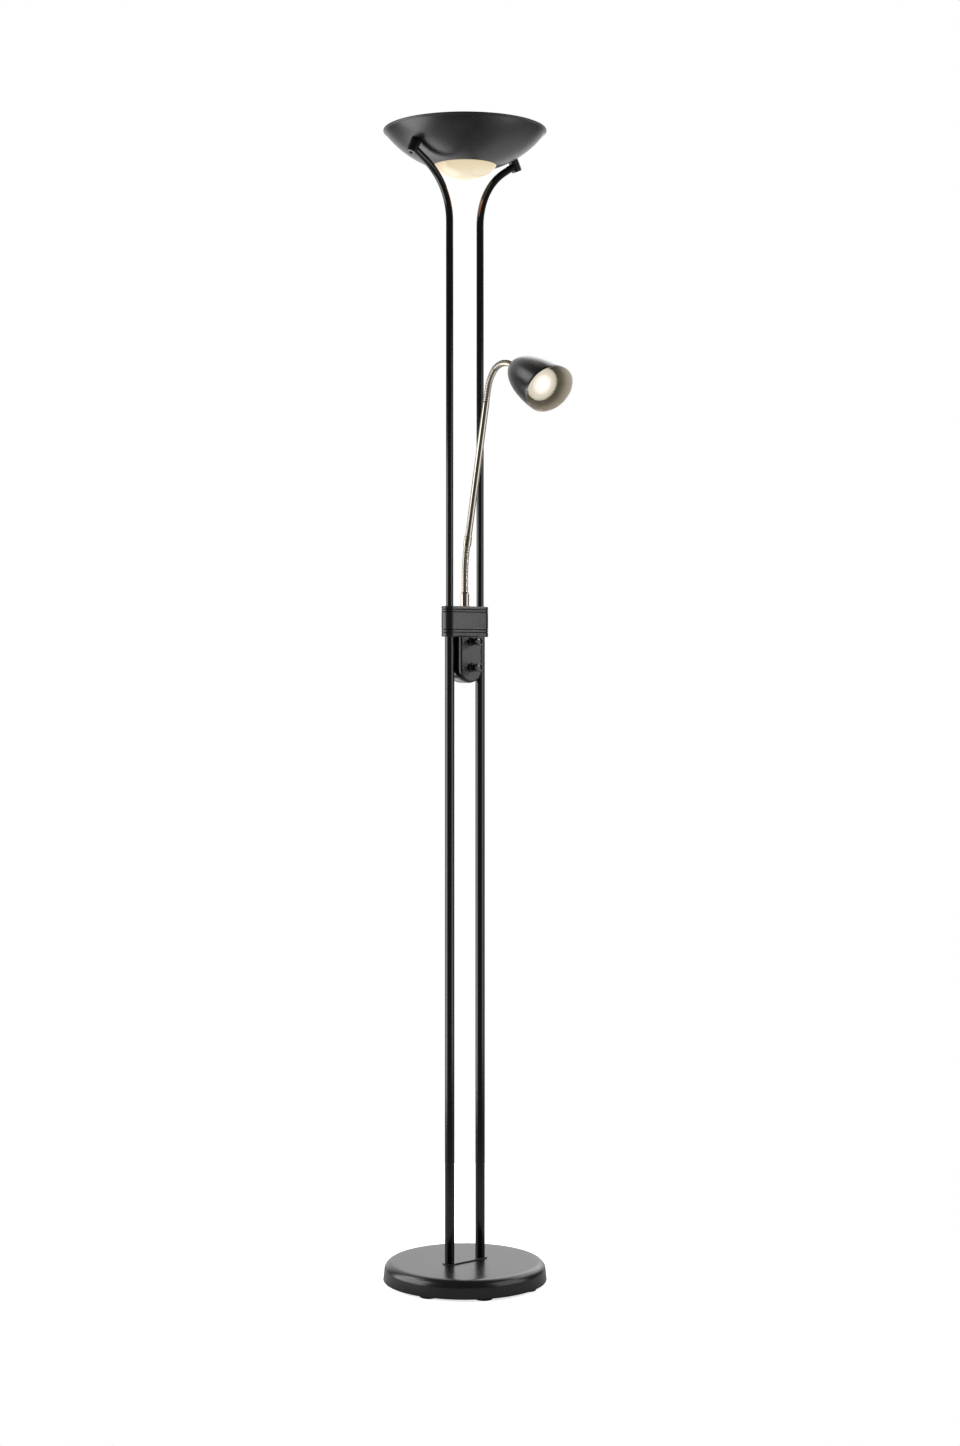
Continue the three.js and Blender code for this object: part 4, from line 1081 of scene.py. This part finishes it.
class LAMP_OT_bowl(bpy.types.Operator):
    """Makes the uplighter bowl with its bosses and the opal glass, and repaints the lamp inside"""

    bl_idname = "lamp.bowl"
    bl_label = "Bowl"

    def execute(self, context):
        sizes = context.scene.lamp_sizes
        segments, bead = sizes.round_segments, sizes.rim_bead / MM
        centre, radius = bowl_sphere()
        rim = BOWL_RIM_RADIUS - bead
        to_rim = math.degrees(math.asin(rim / radius)) - 90
        from_hole = math.degrees(math.asin(BOWL_HOLE / radius)) - 90
        top = high("bowl", 2) - bead
        outer = arc(0, centre, radius, from_hole + 0.3, to_rim - 0.6, 44)
        inner = arc(0, centre, radius - SHEET, to_rim - 0.9, from_hole + 0.2, 44)
        hole_edge = arc(outer[0][0] - 0.1, (outer[0][1] + inner[-1][1]) / 2, 0.6, 110, 250, 4)
        profile = [*outer, *arc(rim, top, bead, -55, 195, 12), *inner, *hole_edge]
        bowl = piece("spun_bowl", turned(profile, segments), satin_enamel())
        bowl.data.materials.append(bowl_lining())
        for face in bowl.data.polygons:
            out = (face.center - Vector((0, 0, centre * MM))).length
            flat = face.normal.dot(Vector((0, 0, centre * MM)) - face.center) > 0
            face.material_index = 1 if flat and out < (radius - SHEET / 2) * MM else 0
        settle(bowl, "stand", "black_paint", "bowl")

        edge = sizes.edge_round / MM
        foot_x, foot_z = boss_foot()
        for name, side in SIDES.items():
            out = Vector((side * math.sin(BOSS_TILT), 0, -math.cos(BOSS_TILT)))
            turn = Vector((0, 0, 1)).rotation_difference(out).to_matrix().to_4x4()
            place = Matrix.Translation((side * foot_x * MM, 0, foot_z * MM)) @ turn
            profile = [
                (0, 3), (BOSS_RADIUS, 3), (BOSS_RADIUS, 9), (BOSS_RADIUS, 15),
                *arc(BOSS_RADIUS - edge, BOSS_LENGTH - edge, edge, 0, 90, 6), (3.1, BOSS_LENGTH),
                (2.8, BOSS_LENGTH - 0.4), (2.7, BOSS_LENGTH - 2), (0, BOSS_LENGTH - 2),
            ]
            verts, faces = turned(profile, 64)
            verts = [on_bowl(v, place, centre, radius) if v[2] == 3 else v for v in verts]
            boss = piece(f"bowl_mounting_{name}", (verts, faces), satin_enamel(), place)
            settle(boss, "stand", "black_paint", f"bowl_boss_{name}")
            repaint(zinc_plate(), f"bowl_screw_{name}")

        bottom = low("glass_dome", 2)
        middle = bottom + DOME_RADIUS
        neck = BOWL_HOLE - 1.2
        neck_deg = math.degrees(math.asin(neck / DOME_RADIUS))
        inside = BOWL_RADIUS - SHEET - 0.3
        seat = centre - math.sqrt(inside ** 2 - neck ** 2) + 0.2
        flange = 57
        flange_seat = centre - math.sqrt(inside ** 2 - flange ** 2) + 0.1
        profile = [
            (0, bottom), *arc(0, middle, DOME_RADIUS, -89, neck_deg - 90, 30), (neck, seat),
            (flange, flange_seat), (flange, flange_seat + 2.6), (neck - DOME_WALL, seat + 2.6),
            *arc(0, middle, DOME_RADIUS - DOME_WALL, neck_deg - 91, -89, 20), (0, bottom + DOME_WALL),
        ]
        glass = piece("opal_glass_dome", turned(profile, 128), opal_glass())
        # The edge value rises towards the neck and drives the glass's painted rim shade.
        ring_attribute(glass, lambda co: (math.hypot(co.x, co.y) / (neck * MM)) ** 3)
        settle(glass, "stand", "opal_glass", "glass_dome")

        repaint(zinc_plate(), "lamp_bracket")
        repaint(steatite(), "lamp_holder_left", "lamp_holder_right")
        repaint(clear_glass(), "tube_lamp", "safety_glass")
        return {"FINISHED"}


def on_bowl(point, place, centre, radius):
    """Slides a point of a boss along the boss's axis until it meets the bowl's outside."""
    spot = place @ (Vector(point) * MM)
    out = place.to_3x3() @ Vector((0, 0, 1))
    from_centre = spot - Vector((0, 0, centre * MM))
    along = from_centre.dot(out)
    reach = (radius + 0.1) * MM
    slide = -along + math.sqrt(along ** 2 - from_centre.length_squared + reach ** 2)
    return (point[0], point[1], point[2] + slide / MM)


# ---------------------------------------------------------------- stage

CAMERA_TURN = math.radians(-40)
CAMERA_DISTANCE = 3.72
CAMERA_HEIGHT = 0.944
FLOOR_RADIUS = 900
ROOM_LEVEL = 0.13
# Pale cards far round the lamp: turn to the camera's right, rise, core and reach in degrees, strength.
CARDS = (
    (180, 20, 22, 48, 1.0),
    (180, -45, 20, 48, 0.8),
    (-90, -50, 15, 50, 0.25),
    (-145, -48, 8, 20, 2.6),
    (90, -50, 15, 50, 0.5),
    (150, 42, 14, 36, 2.1),
)
# Name, turn to the camera's right, height, distance, the box's width and height, luminance, aim, spread
# and colour.
SOFT_BOXES = (
    ("left_wall", -86, 0.72, 1.35, 1.5, 1.4, 4.0, 0.72, 180, "#FFFFFF"),
    ("right_wall", 68, 0.85, 1.35, 1.2, 1.5, 1.8, 0.85, 180, "#FFFFFF"),
    ("left_high", -110, 2.95, 2.7, 1.3, 1.2, 3.2, 0.0, 180, "#FFFFFF"),
    ("right_high", 114, 2.5, 2.7, 1.0, 1.0, 1.8, 0.0, 180, "#FFFFFF"),
    ("back_high", 170, 2.3, 1.5, 1.0, 0.9, 1.2, 1.3, 180, "#FFFFFF"),
    ("knob_spot", 72, 1.7, 2.2, 0.4, 0.4, 0.4, 0.98, 14, "#FFFFFF"),
    ("glass_left", 130, 1.698, 0.001, 0.04, 0.04, 1.6, 1.697, 90, "#FFA060"),
    ("glass_right", -50, 1.698, 0.001, 0.04, 0.04, 1.6, 1.697, 90, "#FFA060"),
)


class LAMP_OT_stage(bpy.types.Operator):
    """Sets up the pale floor, the soft studio light and the camera"""

    bl_idname = "lamp.stage"
    bl_label = "Stage"

    def execute(self, context):
        scene = context.scene
        towards = Vector((math.sin(CAMERA_TURN), -math.cos(CAMERA_TURN), 0))
        data = bpy.data.cameras.new("camera")
        data.lens = 59.35
        data.sensor_width = 36
        data.shift_x = 0.0104
        data.shift_y = -0.0325
        camera = bpy.data.objects.new("camera", data)
        camera.location = towards * CAMERA_DISTANCE + Vector((0, 0, CAMERA_HEIGHT))
        camera.rotation_euler = (math.pi / 2, 0, CAMERA_TURN)
        scene.collection.objects.link(camera)
        scene.camera = camera
        scene.view_settings.view_transform = "Standard"

        floor = piece("studio_floor", turned([(0, -2), (FLOOR_RADIUS, -2), (FLOOR_RADIUS, 0), (0, 0)], 96),
                      pale_floor())
        for box in SOFT_BOXES:
            soft_box(towards, *box)
        self.surroundings(scene, towards)
        return {"FINISHED"}

    def surroundings(self, scene, towards):
        """White for the camera. What the lamp sees is a dark room with soft boxes and pale cards in it."""
        world = bpy.data.worlds.new("studio")
        scene.world = world
        world.use_nodes = True
        tree = world.node_tree
        tree.nodes.clear()
        way = add_node(tree, "ShaderNodeTexCoord").outputs["Generated"]
        level = add_node(tree, "ShaderNodeValue").outputs[0]
        level.default_value = ROOM_LEVEL
        for turn_deg, rise_deg, core_deg, reach_deg, strength in CARDS:
            toward_card = add_node(tree, "ShaderNodeVectorMath", {
                0: way, 1: direction(towards, turn_deg, rise_deg)}, operation="DOT_PRODUCT")
            card = add_node(tree, "ShaderNodeMapRange", {
                "Value": toward_card.outputs["Value"], "From Min": math.cos(math.radians(reach_deg)),
                "From Max": math.cos(math.radians(core_deg)), "To Min": 0.0, "To Max": strength},
                interpolation_type="SMOOTHSTEP")
            level = add_node(tree, "ShaderNodeMath", {0: level, 1: card.outputs["Result"]}).outputs[0]
        seen = add_node(tree, "ShaderNodeLightPath").outputs["Is Camera Ray"]
        strength = add_node(tree, "ShaderNodeMix", {0: seen, 2: level, 3: 1.0}, data_type="FLOAT")
        light = add_node(tree, "ShaderNodeBackground", {
            "Color": (1, 1, 1, 1), "Strength": strength.outputs[0]})
        add_node(tree, "ShaderNodeOutputWorld", {"Surface": light.outputs["Background"]})


def direction(towards, turn_deg, rise_deg):
    """A direction from the lamp: turned to the camera's right from the camera, and raised."""
    away = Matrix.Rotation(math.radians(turn_deg), 3, "Z") @ towards
    return away * math.cos(math.radians(rise_deg)) + Vector((0, 0, math.sin(math.radians(rise_deg))))


def soft_box(towards, name, turn_deg, height, distance, width, tall, luminance, aim, spread_deg, colour):
    """A soft box at a height and distance from the lamp, aimed at a height on the lamp."""
    data = bpy.data.lights.new(name, "AREA")
    data.shape = "RECTANGLE"
    data.size, data.size_y = width, tall
    data.energy = luminance * math.pi * width * tall
    data.spread = math.radians(spread_deg)
    data.color = linear(colour)
    light = bpy.data.objects.new(name, data)
    light.visible_camera = False
    light.location = direction(towards, turn_deg, 0) * distance + Vector((0, 0, height))
    light.rotation_euler = (light.location - Vector((0, 0, aim))).to_track_quat("Z", "Y").to_euler()
    bpy.context.scene.collection.objects.link(light)


def pale_floor():
    """Pale paper. To the camera it is white; what it throws back on the lamp is subdued."""
    material = bpy.data.materials.new("pale_studio_paper")
    material.use_nodes = True
    tree = material.node_tree
    tree.nodes.clear()
    colour = bpy.context.scene.lamp_colours.floor
    seen = add_node(tree, "ShaderNodeLightPath").outputs["Is Camera Ray"]
    tone = add_node(tree, "ShaderNodeMix", {
        0: seen, 6: rgba([c * 0.5 for c in colour]), 7: rgba(colour)}, data_type="RGBA")
    shader = add_node(tree, "ShaderNodeBsdfPrincipled", {
        "Base Color": tone.outputs[2], "Roughness": 0.95, "Specular IOR Level": 0.0,
        "Emission Color": (1, 1, 1, 1)})
    lift = add_node(tree, "ShaderNodeMath", {0: seen, 1: 0.75}, operation="MULTIPLY")
    tree.links.new(lift.outputs[0], shader.inputs["Emission Strength"])
    add_node(tree, "ShaderNodeOutputMaterial", {"Surface": shader.outputs["BSDF"]})
    return material


# ---------------------------------------------------------------- panel and start


class LAMP_PT_panel(bpy.types.Panel):
    """Sizes, colours and the steps that build the lamp"""

    bl_idname = "LAMP_PT_panel"
    bl_label = "Torchiere lamp"
    bl_space_type = "VIEW_3D"
    bl_region_type = "UI"
    bl_category = "Lamp"

    def draw(self, context):
        for group in (context.scene.lamp_sizes, context.scene.lamp_colours):
            box = self.layout.box()
            for name in group.__annotations__:
                box.prop(group, name)
        for operator in OPERATORS:
            self.layout.operator(operator.bl_idname)


OPERATORS = (LAMP_OT_stage, LAMP_OT_base, LAMP_OT_posts, LAMP_OT_control_box, LAMP_OT_reading_arm,
             LAMP_OT_reading_head, LAMP_OT_bowl)
CLASSES = (LampSizes, LampColours, *OPERATORS, LAMP_PT_panel)


def register():
    for item in CLASSES:
        bpy.utils.register_class(item)
    bpy.types.Scene.lamp_sizes = PointerProperty(type=LampSizes)
    bpy.types.Scene.lamp_colours = PointerProperty(type=LampColours)


def unregister():
    del bpy.types.Scene.lamp_colours
    del bpy.types.Scene.lamp_sizes
    for item in reversed(CLASSES):
        bpy.utils.unregister_class(item)


def main():
    register()
    for operator in OPERATORS:
        group, name = operator.bl_idname.split(".")
        getattr(getattr(bpy.ops, group), name)()


if __name__ == "__main__":
    main()
